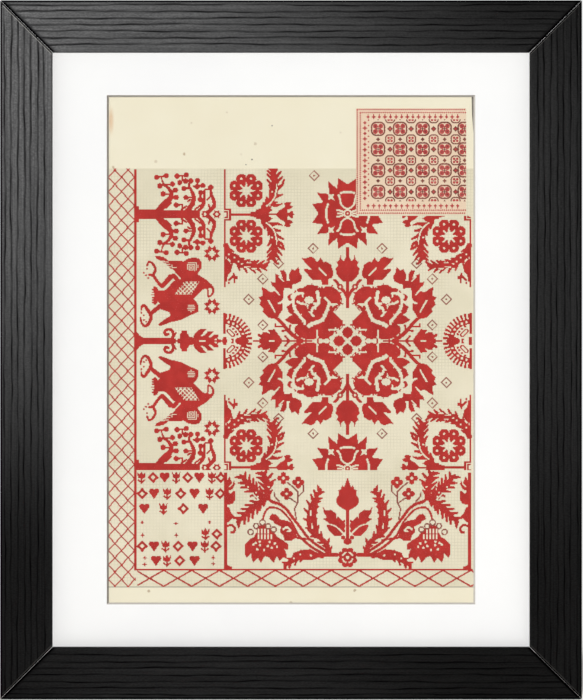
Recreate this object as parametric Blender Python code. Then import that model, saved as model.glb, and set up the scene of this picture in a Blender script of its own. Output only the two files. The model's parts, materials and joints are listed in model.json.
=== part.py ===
"""A framed and matted print: mitred wood frame, glazing, window mat, print, backing and hangers.

Metres, +Z up. The picture faces -Y and hangs on a wall whose face is the plane y = 0.
The origin is the middle of the back, on that plane.
"""

import math

import bmesh
import bpy
from mathutils import Matrix, Vector

# Round stretches are shaded smooth where neighbouring faces meet at less than this, in degrees.
SMOOTH_ANGLE = 35

# Frame: the sight is the opening that shows the mat.
SIGHT_WIDTH = 0.406
SIGHT_HEIGHT = 0.5056
MOULDING_WIDTH = 0.0443
LIP_DEPTH = 0.008
RABBET_WIDTH = 0.006
OUTER_ROUND = 0.0022
INNER_ROUND = 0.0006
ROUND_STEPS = 5
MITRE_GAP = 0.0003

# Pack: the sheets that lie in the rabbet, from the front to the back.
GLAZING_THICKNESS = 0.002
MAT_THICKNESS = 0.0015
MAT_BORDER_SIDE = 0.0460
MAT_BORDER_TOP = 0.0358
PRINT_THICKNESS = 0.0003
PRINT_OVERLAP = 0.012
TAPE_THICKNESS = 0.0002
MOUNT_BOARD_THICKNESS = 0.003
BACK_PANEL_THICKNESS = 0.003
PACK_CLEARANCE = 0.001

# Touching faces are kept this far apart.
TOUCH_GAP = 0.0003

# Hinge tapes that hang the print from the mount board.
TAPE_WIDTH = 0.025
TAPE_LENGTH = 0.040
TAPE_SPREAD = 0.5

# Bumpers: they keep the hangers and screw heads this far off the wall.
WALL_CLEARANCE = 0.0003
BUMPER_RADIUS = 0.0055
BUMPER_ROUND = 0.0008
BUMPER_FROM_EDGE = 0.014
BUMPER_FROM_END = 0.045

# V-nails that join the mitres from behind.
V_NAIL_LEG = 0.0060
V_NAIL_THICKNESS = 0.0008
V_NAIL_HEIGHT = 0.007
V_NAIL_PLACES = {"inner": 0.34, "outer": 0.74}
SLOT_CLEARANCE = 0.0003

# Wood screws, the same for turn buttons and strap hangers.
SCREW_LENGTH = 0.011
SCREW_RADIUS = 0.0014
SCREW_TIP = 0.003
SCREW_HEAD_RADIUS = 0.0031
SCREW_HEAD_HEIGHT = 0.0019
SCREW_HEAD_RIM = 0.0007
SCREW_SIDES = 16
RECESS_LENGTH = 0.0034
RECESS_WIDTH = 0.0008
RECESS_DEPTH = 0.0011
HOLE_CLEARANCE = 0.0003

# Turn buttons that hold the back panel in.
BUTTON_THICKNESS = 0.0011
BUTTON_REACH = 0.017
BUTTON_PIVOT_RADIUS = 0.0045
BUTTON_TIP_RADIUS = 0.0036
BUTTON_FROM_RABBET = 0.0085
BUTTON_SHARE = 0.58
ARC_STEPS = 10

# Strap hangers with D rings, for two wall hooks.
RING_WIRE_RADIUS = 0.0010
RING_HALF_WIDTH = 0.0088
RING_DROP = 0.0165
RING_CORNER = 0.0022
RING_CORNER_STEPS = 4
RING_BOW_STEPS = 16
STRAP_THICKNESS = 0.0009
STRAP_WIDTH = 0.010
STRAP_LENGTH = 0.034
STRAP_END_ROUND = 0.0035
CURL_CLEARANCE = 0.0003
CURL_STEPS = 18
CURL_TURN = 300.0
HANGER_DROP_SHARE = 1 / 3
HANGER_SCREW_DROP = 0.0265

# Worked out from the values above.
STACK = (
    ("glazing", GLAZING_THICKNESS),
    ("mat_board", MAT_THICKNESS),
    ("print_sheet", PRINT_THICKNESS),
    ("hinge_tape", TAPE_THICKNESS),
    ("mount_board", MOUNT_BOARD_THICKNESS),
    ("back_panel", BACK_PANEL_THICKNESS),
)
CURL_INNER = RING_WIRE_RADIUS + CURL_CLEARANCE
CURL_OUTER = CURL_INNER + STRAP_THICKNESS
HANGER_HEIGHT = TOUCH_GAP + 2 * CURL_OUTER
SCREWED_HEIGHT = 2 * TOUCH_GAP + max(BUTTON_THICKNESS, STRAP_THICKNESS) + SCREW_HEAD_HEIGHT
BUMPER_THICKNESS = max(HANGER_HEIGHT, SCREWED_HEIGHT) + WALL_CLEARANCE
RABBET_DEPTH = sum(thickness + TOUCH_GAP for _, thickness in STACK)
RAIL_BACK = -BUMPER_THICKNESS
LIP_BACK = RAIL_BACK - RABBET_DEPTH
RAIL_FRONT = LIP_BACK - LIP_DEPTH
PACK_HALF_WIDTH = SIGHT_WIDTH / 2 + RABBET_WIDTH - PACK_CLEARANCE
PACK_HALF_HEIGHT = SIGHT_HEIGHT / 2 + RABBET_WIDTH - PACK_CLEARANCE
WINDOW_HALF_WIDTH = SIGHT_WIDTH / 2 - MAT_BORDER_SIDE
WINDOW_HALF_HEIGHT = SIGHT_HEIGHT / 2 - MAT_BORDER_TOP
PRINT_HALF_WIDTH = WINDOW_HALF_WIDTH + PRINT_OVERLAP
PRINT_HALF_HEIGHT = WINDOW_HALF_HEIGHT + PRINT_OVERLAP
HINGE_Y = RAIL_BACK + TOUCH_GAP + CURL_OUTER

# A rail's outward direction is +Z turned about +Y by its angle.
RAILS = {
    "top": (0, SIGHT_WIDTH / 2, SIGHT_HEIGHT / 2),
    "right": (90, SIGHT_HEIGHT / 2, SIGHT_WIDTH / 2),
    "bottom": (180, SIGHT_WIDTH / 2, SIGHT_HEIGHT / 2),
    "left": (270, SIGHT_HEIGHT / 2, SIGHT_WIDTH / 2),
}
BUTTON_ENDS = {
    "top": ("left", "right"),
    "right": ("upper", "lower"),
    "bottom": ("right", "left"),
    "left": ("lower", "upper"),
}


def clear_scene():
    """Removes every object, so that the script can be run again."""
    for thing in list(bpy.data.objects):
        bpy.data.objects.remove(thing, do_unlink=True)


def finish_of(name, colour, roughness, metallic=0.0):
    """A plain material for one sort of piece."""
    made = bpy.data.materials.new(name)
    made.use_nodes = True
    shader = made.node_tree.nodes["Principled BSDF"]
    shader.inputs["Base Color"].default_value = (*colour, 1.0)
    shader.inputs["Roughness"].default_value = roughness
    shader.inputs["Metallic"].default_value = metallic
    return made


def make_finishes():
    """The materials by name."""
    rows = (
        ("stained_wood", (0.030, 0.030, 0.030), 0.5, 0.0),
        ("clear_glazing", (0.92, 0.95, 0.95), 0.05, 0.0),
        ("white_mat", (0.94, 0.94, 0.94), 0.85, 0.0),
        ("print_paper", (0.86, 0.80, 0.63), 0.8, 0.0),
        ("linen_tape", (0.85, 0.82, 0.74), 0.8, 0.0),
        ("foam_board", (0.90, 0.90, 0.88), 0.7, 0.0),
        ("hardboard", (0.32, 0.20, 0.11), 0.7, 0.0),
        ("zinc_steel", (0.62, 0.62, 0.60), 0.35, 1.0),
        ("dark_rubber", (0.05, 0.05, 0.05), 0.8, 0.0),
    )
    return {name: finish_of(name, *look) for name, *look in rows}


def add_object(name, data, finish=None):
    """Links a new object that holds this mesh or curve."""
    made = bpy.data.objects.new(name, data)
    bpy.context.scene.collection.objects.link(made)
    if finish and not data.materials:
        data.materials.append(finish)
    return made


def mesh_of(name, bm):
    """Turns a bmesh into a mesh with its faces pointing out, and frees it."""
    bmesh.ops.recalc_face_normals(bm, faces=bm.faces)
    made = bpy.data.meshes.new(name)
    bm.to_mesh(made)
    bm.free()
    return made


def smooth(mesh):
    """Shades the round stretches smooth and leaves the corners sharp."""
    mesh.shade_smooth()
    mesh.set_sharp_from_angle(angle=math.radians(SMOOTH_ANGLE))


def arc(centre, radius, start, end, steps):
    """Points on an arc in a plane, from start to end degrees, both ends included."""
    angles = [math.radians(start + (end - start) * i / steps) for i in range(steps + 1)]
    return [(centre[0] + radius * math.cos(t), centre[1] + radius * math.sin(t)) for t in angles]


def box_mesh(name, low, high):
    """A closed box between two corners."""
    bm = bmesh.new()
    bmesh.ops.create_cube(bm, size=1.0)
    size = Vector(high) - Vector(low)
    bmesh.ops.scale(bm, vec=size, verts=bm.verts)
    bmesh.ops.translate(bm, vec=(Vector(low) + Vector(high)) / 2, verts=bm.verts)
    return mesh_of(name, bm)


def extruded(bm, outline, axis_vector):
    """Adds a prism: outline is a list of 3-D points in a plane, pushed along axis_vector."""
    face = bm.faces.new([bm.verts.new(point) for point in outline])
    grown = bmesh.ops.extrude_face_region(bm, geom=[face])["geom"]
    moved = [item for item in grown if isinstance(item, bmesh.types.BMVert)]
    bmesh.ops.translate(bm, vec=axis_vector, verts=moved)


def turned(bm, profile, sides):
    """Adds a solid of revolution about Y: profile is (radius, y) points, from the axis to the axis."""
    points = [bm.verts.new((radius, y, 0)) for radius, y in profile]
    edges = [bm.edges.new(pair) for pair in zip(points, points[1:])]
    bmesh.ops.spin(bm, geom=points + edges, cent=(0, 0, 0), axis=(0, 1, 0),
                   angle=math.tau, steps=sides, use_merge=True)
    bmesh.ops.remove_doubles(bm, verts=bm.verts, dist=1e-6)


def cylinder_in(bm, centre, radius, start_y, end_y):
    """Adds a cylinder along Y to a cutter's bmesh."""
    depth = end_y - start_y
    place = Matrix.Translation((centre[0], (start_y + end_y) / 2, centre[1]))
    bmesh.ops.create_cone(bm, cap_ends=True, segments=SCREW_SIDES, radius1=radius, radius2=radius,
                          depth=depth, matrix=place @ Matrix.Rotation(math.pi / 2, 4, "X"))


def cut(target, name, bm):
    """Cuts the bmesh's shape out of target with a hidden helper."""
    cutter = add_object(name, mesh_of(name, bm))
    cutter.hide_render = True
    cutter.display_type = "WIRE"
    modifier = target.modifiers.new(name, "BOOLEAN")
    modifier.operation = "DIFFERENCE"
    modifier.solver = "EXACT"
    modifier.object = cutter


def rail_outline():
    """The moulding's section as (across, y): across runs outwards from the sight edge."""
    inner = arc((INNER_ROUND, RAIL_FRONT + INNER_ROUND), INNER_ROUND, 180, 270, ROUND_STEPS)
    outer_centre = (MOULDING_WIDTH - OUTER_ROUND, RAIL_FRONT + OUTER_ROUND)
    outer = arc(outer_centre, OUTER_ROUND, 270, 360, ROUND_STEPS)
    back = [(MOULDING_WIDTH, RAIL_BACK), (RABBET_WIDTH, RAIL_BACK),
            (RABBET_WIDTH, LIP_BACK), (0, LIP_BACK)]
    return inner + outer + back


def make_rail(side, finishes):
    """One mitred rail, made along X with +Z outwards, then turned to its side."""
    angle, half_length, distance = RAILS[side]
    setback = MITRE_GAP / 2 * math.sqrt(2)
    bm = bmesh.new()
    ends = []
    for sign in (-1, 1):
        ends.append([
            bm.verts.new((sign * (half_length + across - setback), y, across))
            for across, y in rail_outline()
        ])
        bm.faces.new(ends[-1])
    for i, point in enumerate(ends[0]):
        j = (i + 1) % len(ends[0])
        bm.faces.new((point, ends[0][j], ends[1][j], ends[1][i]))
    mesh = mesh_of(f"rail_{side}", bm)
    smooth(mesh)
    rail = add_object(f"rail_{side}", mesh, finishes["stained_wood"])
    rail.rotation_euler = (0, math.radians(angle), 0)
    rail.location = outward(side) * distance
    return rail


def outward(side):
    """The unit vector that points away from the picture's middle at this rail."""
    return Matrix.Rotation(math.radians(RAILS[side][0]), 3, "Y") @ Vector((0, 0, 1))


def along(side):
    """The unit vector along a rail."""
    return Matrix.Rotation(math.radians(RAILS[side][0]), 3, "Y") @ Vector((1, 0, 0))


def on_rail(side, share, across):
    """A point behind a rail: share of its half length along it, and across it from the sight edge."""
    _, half_length, distance = RAILS[side]
    return along(side) * (share * half_length) + outward(side) * (distance + across)


def v_nail_outline(apex, signs, grow):
    """An L in the XZ plane whose corner is the apex and whose legs run back towards the picture."""
    leg, thick = V_NAIL_LEG + grow, V_NAIL_THICKNESS + grow
    local = ((-grow, -grow), (leg, -grow), (leg, thick), (thick, thick), (thick, leg), (-grow, leg))
    return [(apex[0] - signs[0] * u, apex[1] - signs[1] * v) for u, v in local]


def v_nails():
    """(name, apex, signs) of each V-nail, two to a corner."""
    for vertical, sign_z in (("top", 1), ("bottom", -1)):
        for level, sign_x in (("left", -1), ("right", 1)):
            for place, share in V_NAIL_PLACES.items():
                across = share * MOULDING_WIDTH
                apex = (sign_x * (SIGHT_WIDTH / 2 + across), sign_z * (SIGHT_HEIGHT / 2 + across))
                yield f"v_nail_{vertical}_{level}_{place}", apex, (sign_x, sign_z)


def make_v_nails(finishes):
    """The V-nails, flush with the rails' backs."""
    for name, apex, signs in v_nails():
        bm = bmesh.new()
        outline = [(x, RAIL_BACK, z) for x, z in v_nail_outline(apex, signs, 0)]
        extruded(bm, outline, (0, -V_NAIL_HEIGHT, 0))
        add_object(name, mesh_of(name, bm), finishes["zinc_steel"])


def button_places():
    """(name, side, point on the pivot) of each turn button."""
    for side, names in BUTTON_ENDS.items():
        for name, share in zip(names, (-BUTTON_SHARE, BUTTON_SHARE)):
            point = on_rail(side, share, RABBET_WIDTH + BUTTON_FROM_RABBET)
            yield f"turn_button_{side}_{name}", side, point


def hanger_places():
    """(name, side, point on the ring's hinge axis) of each strap hanger."""
    outer_height = SIGHT_HEIGHT + 2 * MOULDING_WIDTH
    height = outer_height / 2 - HANGER_DROP_SHARE * outer_height
    middle = SIGHT_WIDTH / 2 + (RABBET_WIDTH + MOULDING_WIDTH) / 2
    for side, sign in (("left", -1), ("right", 1)):
        yield side, side, Vector((sign * middle, HINGE_Y, height))


def screw_places():
    """(name, rail's side, point, y of the head's underside) of each screw."""
    for name, side, point in button_places():
        yield f"{name}_screw", side, point, RAIL_BACK + 2 * TOUCH_GAP + BUTTON_THICKNESS
    for name, side, point in hanger_places():
        below = point - Vector((0, 0, HANGER_SCREW_DROP))
        yield f"hanger_{name}_screw", side, below, RAIL_BACK + 2 * TOUCH_GAP + STRAP_THICKNESS


def cut_rail(rail, side):
    """Cuts the pilot holes and V-nail slots that this rail needs."""
    bm = bmesh.new()
    for _, rail_side, point, _ in screw_places():
        if rail_side == side:
            cylinder_in(bm, (point.x, point.z), SCREW_RADIUS + HOLE_CLEARANCE,
                        RAIL_BACK - SCREW_LENGTH, -RAIL_BACK)
    for _, apex, signs in v_nails():
        at_this_rail = signs[1] * outward(side).z > 0 or signs[0] * outward(side).x > 0
        if at_this_rail:
            slot = v_nail_outline(apex, signs, SLOT_CLEARANCE)
            floor = RAIL_BACK - V_NAIL_HEIGHT - SLOT_CLEARANCE
            extruded(bm, [(x, floor, z) for x, z in slot], (0, -2 * floor, 0))
    cut(rail, f"cutter_{side}", bm)


def sheet_levels():
    """{name: (front y, back y)} of the sheets in the rabbet."""
    levels = {}
    front = LIP_BACK + TOUCH_GAP
    for name, thickness in STACK:
        levels[name] = (front, front + thickness)
        front += thickness + TOUCH_GAP
    return levels


def make_sheets(finishes):
    """The flat sheets of the pack."""
    levels = sheet_levels()
    sizes = {
        "glazing": (PACK_HALF_WIDTH, PACK_HALF_HEIGHT, "clear_glazing"),
        "print_sheet": (PRINT_HALF_WIDTH, PRINT_HALF_HEIGHT, "print_paper"),
        "mount_board": (PACK_HALF_WIDTH, PACK_HALF_HEIGHT, "foam_board"),
        "back_panel": (PACK_HALF_WIDTH, PACK_HALF_HEIGHT, "hardboard"),
    }
    for name, (half_width, half_height, finish) in sizes.items():
        front, back = levels[name]
        mesh = box_mesh(name, (-half_width, front, -half_height), (half_width, back, half_height))
        add_object(name, mesh, finishes[finish])


def make_mat(finishes):
    """The window mat, whose opening is cut at 45 degrees and is wider at the front."""
    front, back = sheet_levels()["mat_board"]
    bevel = MAT_THICKNESS
    bm = bmesh.new()
    loops = []
    for half_width, half_height, y in (
        (PACK_HALF_WIDTH, PACK_HALF_HEIGHT, front),
        (PACK_HALF_WIDTH, PACK_HALF_HEIGHT, back),
        (WINDOW_HALF_WIDTH - bevel, WINDOW_HALF_HEIGHT - bevel, back),
        (WINDOW_HALF_WIDTH, WINDOW_HALF_HEIGHT, front),
    ):
        corners = ((-1, -1), (1, -1), (1, 1), (-1, 1))
        loops.append([bm.verts.new((sx * half_width, y, sz * half_height)) for sx, sz in corners])
    for i, loop in enumerate(loops):
        following = loops[(i + 1) % len(loops)]
        for k in range(4):
            bm.faces.new((loop[k], loop[(k + 1) % 4], following[(k + 1) % 4], following[k]))
    add_object("mat_board", mesh_of("mat_board", bm), finishes["white_mat"])


def make_tapes(finishes):
    """Two hinge tapes, half on the print's back and half above it on the mount board."""
    front, back = sheet_levels()["hinge_tape"]
    reach = min(TAPE_LENGTH / 2, PACK_HALF_HEIGHT - PRINT_HALF_HEIGHT)
    for name, sign in (("left", -1), ("right", 1)):
        middle = sign * TAPE_SPREAD * PRINT_HALF_WIDTH
        low = (middle - TAPE_WIDTH / 2, front, PRINT_HALF_HEIGHT - TAPE_LENGTH / 2)
        high = (middle + TAPE_WIDTH / 2, back, PRINT_HALF_HEIGHT + reach)
        mesh = box_mesh(f"hinge_tape_{name}", low, high)
        add_object(f"hinge_tape_{name}", mesh, finishes["linen_tape"])


def make_bumpers(finishes):
    """Four bumpers on the side rails' backs, whose flat faces stand on the wall."""
    foot = TOUCH_GAP - BUMPER_THICKNESS
    rim = arc((BUMPER_RADIUS - BUMPER_ROUND, -BUMPER_ROUND), BUMPER_ROUND, 0, 90, ROUND_STEPS)
    bm = bmesh.new()
    turned(bm, [(0, foot), (BUMPER_RADIUS, foot), *rim, (0, 0)], 2 * SCREW_SIDES)
    mesh = mesh_of("bumper", bm)
    smooth(mesh)
    across = SIGHT_WIDTH / 2 + MOULDING_WIDTH - BUMPER_FROM_EDGE
    height = SIGHT_HEIGHT / 2 + MOULDING_WIDTH - BUMPER_FROM_END
    for vertical, sign_z in (("top", 1), ("bottom", -1)):
        for level, sign_x in (("left", -1), ("right", 1)):
            bumper = add_object(f"bumper_{vertical}_{level}", mesh, finishes["dark_rubber"])
            bumper.location = (sign_x * across, 0, sign_z * height)


def screw_mesh():
    """A pan-head wood screw along Y, its head's underside at y = 0 and its recess towards +Y."""
    crown = SCREW_HEAD_HEIGHT - SCREW_HEAD_RIM
    quarter = arc((0, 0), 1, 0, 90, ROUND_STEPS)[:-1]
    dome = [(SCREW_HEAD_RADIUS * across, SCREW_HEAD_RIM + crown * up) for across, up in quarter]
    profile = [(0, -SCREW_LENGTH), (SCREW_RADIUS, SCREW_TIP - SCREW_LENGTH), (SCREW_RADIUS, 0),
               (SCREW_HEAD_RADIUS, 0), *dome, (0, SCREW_HEAD_HEIGHT)]
    bm = bmesh.new()
    turned(bm, profile, SCREW_SIDES)
    blank = add_object("screw_blank", mesh_of("screw_blank", bm))
    recess = bmesh.new()
    floor, top = SCREW_HEAD_HEIGHT - RECESS_DEPTH, SCREW_HEAD_HEIGHT + RECESS_DEPTH
    long, short = RECESS_LENGTH / 2, RECESS_WIDTH / 2
    cross = [(long, -short), (long, short), (short, short), (short, long), (-short, long),
             (-short, short), (-long, short), (-long, -short), (-short, -short), (-short, -long),
             (short, -long), (short, -short)]
    extruded(recess, [(x, floor, z) for x, z in cross], (0, top - floor, 0))
    cut(blank, "cutter_recess", recess)
    bpy.context.view_layer.update()
    done = bpy.data.meshes.new_from_object(blank.evaluated_get(bpy.context.evaluated_depsgraph_get()))
    bpy.data.objects.remove(bpy.data.objects["cutter_recess"])
    bpy.data.objects.remove(blank)
    smooth(done)
    return done


def make_screws(finishes):
    """Every screw at its place, all sharing one mesh."""
    mesh = screw_mesh()
    for name, _, point, head_y in screw_places():
        screw = add_object(name, mesh, finishes["zinc_steel"])
        screw.location = (point.x, head_y, point.z)


def make_buttons(finishes):
    """The turn buttons: plates that taper from the pivot to the tip, pointing at the picture."""
    taper = math.degrees(math.asin((BUTTON_PIVOT_RADIUS - BUTTON_TIP_RADIUS) / BUTTON_REACH))
    pivot_end = arc((0, 0), BUTTON_PIVOT_RADIUS, -taper, 180 + taper, ARC_STEPS)
    tip_end = arc((0, -BUTTON_REACH), BUTTON_TIP_RADIUS, 180 + taper, 360 - taper, ARC_STEPS)
    outline = pivot_end + tip_end
    hole = arc((0, 0), SCREW_RADIUS + HOLE_CLEARANCE, 0, 360, len(outline))[:-1]
    front = RAIL_BACK + TOUCH_GAP
    bm = bmesh.new()
    rings = [[bm.verts.new((x, 0, z)) for x, z in ring] for ring in (outline, hole)]
    edges = [bm.edges.new((ring[i], ring[i - 1])) for ring in rings for i in range(len(ring))]
    bmesh.ops.bridge_loops(bm, edges=edges)
    grown = bmesh.ops.extrude_face_region(bm, geom=list(bm.faces))["geom"]
    moved = [item for item in grown if isinstance(item, bmesh.types.BMVert)]
    bmesh.ops.translate(bm, vec=(0, BUTTON_THICKNESS, 0), verts=moved)
    mesh = mesh_of("turn_button", bm)
    for name, side, point in button_places():
        button = add_object(name, mesh, finishes["zinc_steel"])
        button.location = (point.x, front, point.z)
        button.rotation_euler = (0, math.radians(RAILS[side][0]), 0)


def strap_outline():
    """The strap's section as (y, z) about the hinge axis: a flat leg that ends in a curl."""
    curl_end = 180 - CURL_TURN
    outside = arc((0, 0), CURL_OUTER, 180, curl_end, CURL_STEPS)
    inside = arc((0, 0), CURL_INNER, curl_end, 180, CURL_STEPS)
    return [(-CURL_OUTER, -STRAP_LENGTH), *outside, *inside, (-CURL_INNER, -STRAP_LENGTH)]


def make_strap(name, side, hinge, finishes):
    """The strap of one hanger, with rounded lower corners and a screw hole."""
    bm = bmesh.new()
    outline = [(-STRAP_WIDTH / 2, y, z) for y, z in strap_outline()]
    extruded(bm, outline, (STRAP_WIDTH, 0, 0))
    corners = [edge for edge in bm.edges if all(v.co.z < CURL_OUTER - STRAP_LENGTH for v in edge.verts)
               and edge.verts[0].co.x == edge.verts[1].co.x]
    bmesh.ops.bevel(bm, geom=corners, offset=STRAP_END_ROUND, segments=ROUND_STEPS, profile=0.5,
                    affect="EDGES", material=-1)
    strap = add_object(f"hanger_{name}_strap", mesh_of("strap", bm), finishes["zinc_steel"])
    strap.location = hinge
    hole = bmesh.new()
    cylinder_in(hole, (hinge.x, hinge.z - HANGER_SCREW_DROP), SCREW_RADIUS + HOLE_CLEARANCE,
                RAIL_BACK, hinge.y)
    cut(strap, f"cutter_strap_{name}", hole)


def ring_path():
    """The D ring's centreline as (x, z) about its hinge axis, hanging down."""
    side = RING_HALF_WIDTH
    low = -RING_DROP + side
    right = arc((side - RING_CORNER, -RING_CORNER), RING_CORNER, 90, 0, RING_CORNER_STEPS)
    bow = arc((0, low), side, 0, -180, RING_BOW_STEPS)
    left = arc((RING_CORNER - side, -RING_CORNER), RING_CORNER, 180, 90, RING_CORNER_STEPS)
    return right + bow + left


def make_ring(name, hinge, finishes):
    """A D ring of round wire, whose straight side lies in the strap's curl."""
    path = ring_path()
    curve = bpy.data.curves.new("d_ring", "CURVE")
    curve.dimensions = "3D"
    curve.bevel_depth = RING_WIRE_RADIUS
    curve.bevel_resolution = 2
    spline = curve.splines.new("POLY")
    spline.points.add(len(path) - 1)
    for point, (x, z) in zip(spline.points, path):
        point.co = (x, 0, z, 1)
    spline.use_cyclic_u = True
    ring = add_object(f"hanger_{name}_ring", curve, finishes["zinc_steel"])
    ring.location = hinge


def main():
    """Builds every piece of the framed print."""
    clear_scene()
    finishes = make_finishes()
    for side in RAILS:
        cut_rail(make_rail(side, finishes), side)
    make_v_nails(finishes)
    make_sheets(finishes)
    make_mat(finishes)
    make_tapes(finishes)
    make_bumpers(finishes)
    make_screws(finishes)
    make_buttons(finishes)
    for name, side, hinge in hanger_places():
        make_strap(name, side, hinge, finishes)
        make_ring(name, hinge, finishes)


main()
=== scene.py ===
"""A framed print of a woven coverlet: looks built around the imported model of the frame."""

from __future__ import annotations

import json
import logging
import math
from collections.abc import Callable, Iterable, Sequence
from dataclasses import dataclass
from enum import Enum

import bmesh
import bpy
import numpy as np
from mathutils import Matrix, Vector

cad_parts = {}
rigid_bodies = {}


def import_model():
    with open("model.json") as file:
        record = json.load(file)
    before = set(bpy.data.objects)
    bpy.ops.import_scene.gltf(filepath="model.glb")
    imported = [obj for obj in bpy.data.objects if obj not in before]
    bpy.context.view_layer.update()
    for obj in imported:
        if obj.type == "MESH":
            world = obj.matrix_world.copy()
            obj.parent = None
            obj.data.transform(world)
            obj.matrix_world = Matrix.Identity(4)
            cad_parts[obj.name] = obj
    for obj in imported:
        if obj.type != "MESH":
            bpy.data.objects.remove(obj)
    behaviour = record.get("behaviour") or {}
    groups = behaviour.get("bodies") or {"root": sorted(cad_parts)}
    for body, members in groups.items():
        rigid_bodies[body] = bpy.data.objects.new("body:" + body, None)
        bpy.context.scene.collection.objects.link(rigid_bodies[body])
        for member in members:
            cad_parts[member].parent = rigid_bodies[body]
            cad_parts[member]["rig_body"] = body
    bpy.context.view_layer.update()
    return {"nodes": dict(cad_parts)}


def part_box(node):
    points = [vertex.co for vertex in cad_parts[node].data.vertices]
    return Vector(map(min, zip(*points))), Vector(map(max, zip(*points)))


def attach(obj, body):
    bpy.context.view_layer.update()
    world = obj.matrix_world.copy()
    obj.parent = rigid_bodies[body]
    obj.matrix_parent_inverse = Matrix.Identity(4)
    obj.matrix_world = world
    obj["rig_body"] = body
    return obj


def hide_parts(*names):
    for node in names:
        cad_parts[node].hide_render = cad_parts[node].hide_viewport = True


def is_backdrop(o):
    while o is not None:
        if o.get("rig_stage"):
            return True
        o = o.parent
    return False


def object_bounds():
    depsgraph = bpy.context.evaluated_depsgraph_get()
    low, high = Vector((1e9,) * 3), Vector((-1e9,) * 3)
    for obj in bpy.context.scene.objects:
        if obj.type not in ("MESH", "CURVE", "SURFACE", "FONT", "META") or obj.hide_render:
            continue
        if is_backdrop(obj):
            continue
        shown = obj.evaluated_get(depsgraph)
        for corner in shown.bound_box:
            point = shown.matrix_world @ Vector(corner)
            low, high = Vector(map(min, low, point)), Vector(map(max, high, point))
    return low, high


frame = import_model()

LOG = logging.getLogger("framed_print")
MM = 0.001
Point = tuple[float, float]
Triple = tuple[float, float, float]
Card = tuple[int, int, int]
Value = float | tuple[float, ...] | bpy.types.NodeSocket


def paint(red: int, green: int, blue: int) -> tuple[float, float, float, float]:
    """A linear colour from the 0 to 255 values of a colour card.

    Args:
        red: Its red.
        green: Its green.
        blue: Its blue.

    Returns:
        The colour, with an alpha of 1.
    """
    def linear(value: float) -> float:
        """One channel without its display curve."""
        return value / 12.92 if value <= 0.04045 else ((value + 0.055) / 1.055) ** 2.4
    return (linear(red / 255), linear(green / 255), linear(blue / 255), 1.0)


def low_high(node: str) -> tuple[Vector, Vector]:
    """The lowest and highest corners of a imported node."""
    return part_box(node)


# --- node trees -------------------------------------------------------------------------------


class Recipe:
    """Places and joins the nodes of one material or node group."""

    def __init__(self, tree: bpy.types.NodeTree) -> None:
        """Keeps the tree that the nodes go into, and its shader if it has one."""
        self.tree = tree
        self.shader = tree.nodes.get("Principled BSDF")

    def node(self, kind: str, inputs: dict[str | int, Value] | None = None,
            **settings: object) -> bpy.types.Node:
        """Adds a node.

        Args:
            kind: The node's type without its ShaderNode prefix.
            inputs: A value or a socket for each input, by name or number.
            **settings: The node's own options.

        Returns:
            The new node.
        """
        made = self.tree.nodes.new("ShaderNode" + kind)
        for name, value in settings.items():
            setattr(made, name, value)
        self.join(made, inputs or {})
        return made

    def join(self, node: bpy.types.Node, inputs: dict[str | int, Value]) -> None:
        """Links sockets to a node's inputs, and sets the ones that are plain values.

        Args:
            node: The node.
            inputs: A value or a socket for each input, by name or number.
        """
        for name, value in inputs.items():
            if isinstance(value, bpy.types.NodeSocket):
                self.tree.links.new(value, node.inputs[name])
            else:
                node.inputs[name].default_value = value

    def math(self, operation: str, first: Value, second: Value = 0.0) -> bpy.types.NodeSocket:
        """The result of one sum."""
        return self.node("Math", {0: first, 1: second}, operation=operation).outputs[0]

    def mix(self, share: Value, first: Value, second: Value, blend: str = "MIX") -> bpy.types.NodeSocket:
        """Two colours mixed."""
        return self.node("Mix", {0: share, 6: first, 7: second}, data_type="RGBA",
            blend_type=blend).outputs[2]

    def ramp(self, value: Value, low: float, high: float, start: float = 0.0,
            end: float = 1.0) -> bpy.types.NodeSocket:
        """A value eased from the range low to high onto the range start to end."""
        return self.node("MapRange", {0: value, 1: low, 2: high, 3: start, 4: end},
                         interpolation_type="SMOOTHSTEP").outputs[0]

    def noise(self, vector: Value, scale: float, detail: float = 3.0,
            rough: float = 0.55) -> bpy.types.NodeSocket:
        """Cloudy noise from 0 to 1."""
        return self.node("TexNoise", {"Vector": vector, "Scale": scale, "Detail": detail,
            "Roughness": rough}).outputs[0]

    def place(self, stretch: Triple = (1.0, 1.0, 1.0), turn: float = 0.0) -> bpy.types.NodeSocket:
        """Takes the piece's own coordinates, stretched and turned about the depth axis.

        Args:
            stretch: The stretch along each axis.
            turn: The turn, in radians.

        Returns:
            The coordinates' socket.
        """
        source = self.node("TexCoord").outputs["Object"]
        return self.node("Mapping", {"Vector": source, "Scale": stretch,
            "Rotation": (0.0, turn, 0.0)}).outputs[0]

    def effect(self, effect: Effect, inputs: dict[str | int, Value]) -> bpy.types.Node:
        """Places a shared effect."""
        return self.node("Group", inputs, node_tree=EFFECTS.get(effect))


class Effect(Enum):
    """The effects that several finishes share."""

    STREAKS = "Streaks"
    WEAVE = "Weave"
    SOIL = "Soil"
    WORN_EDGE = "Worn edge"


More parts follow.
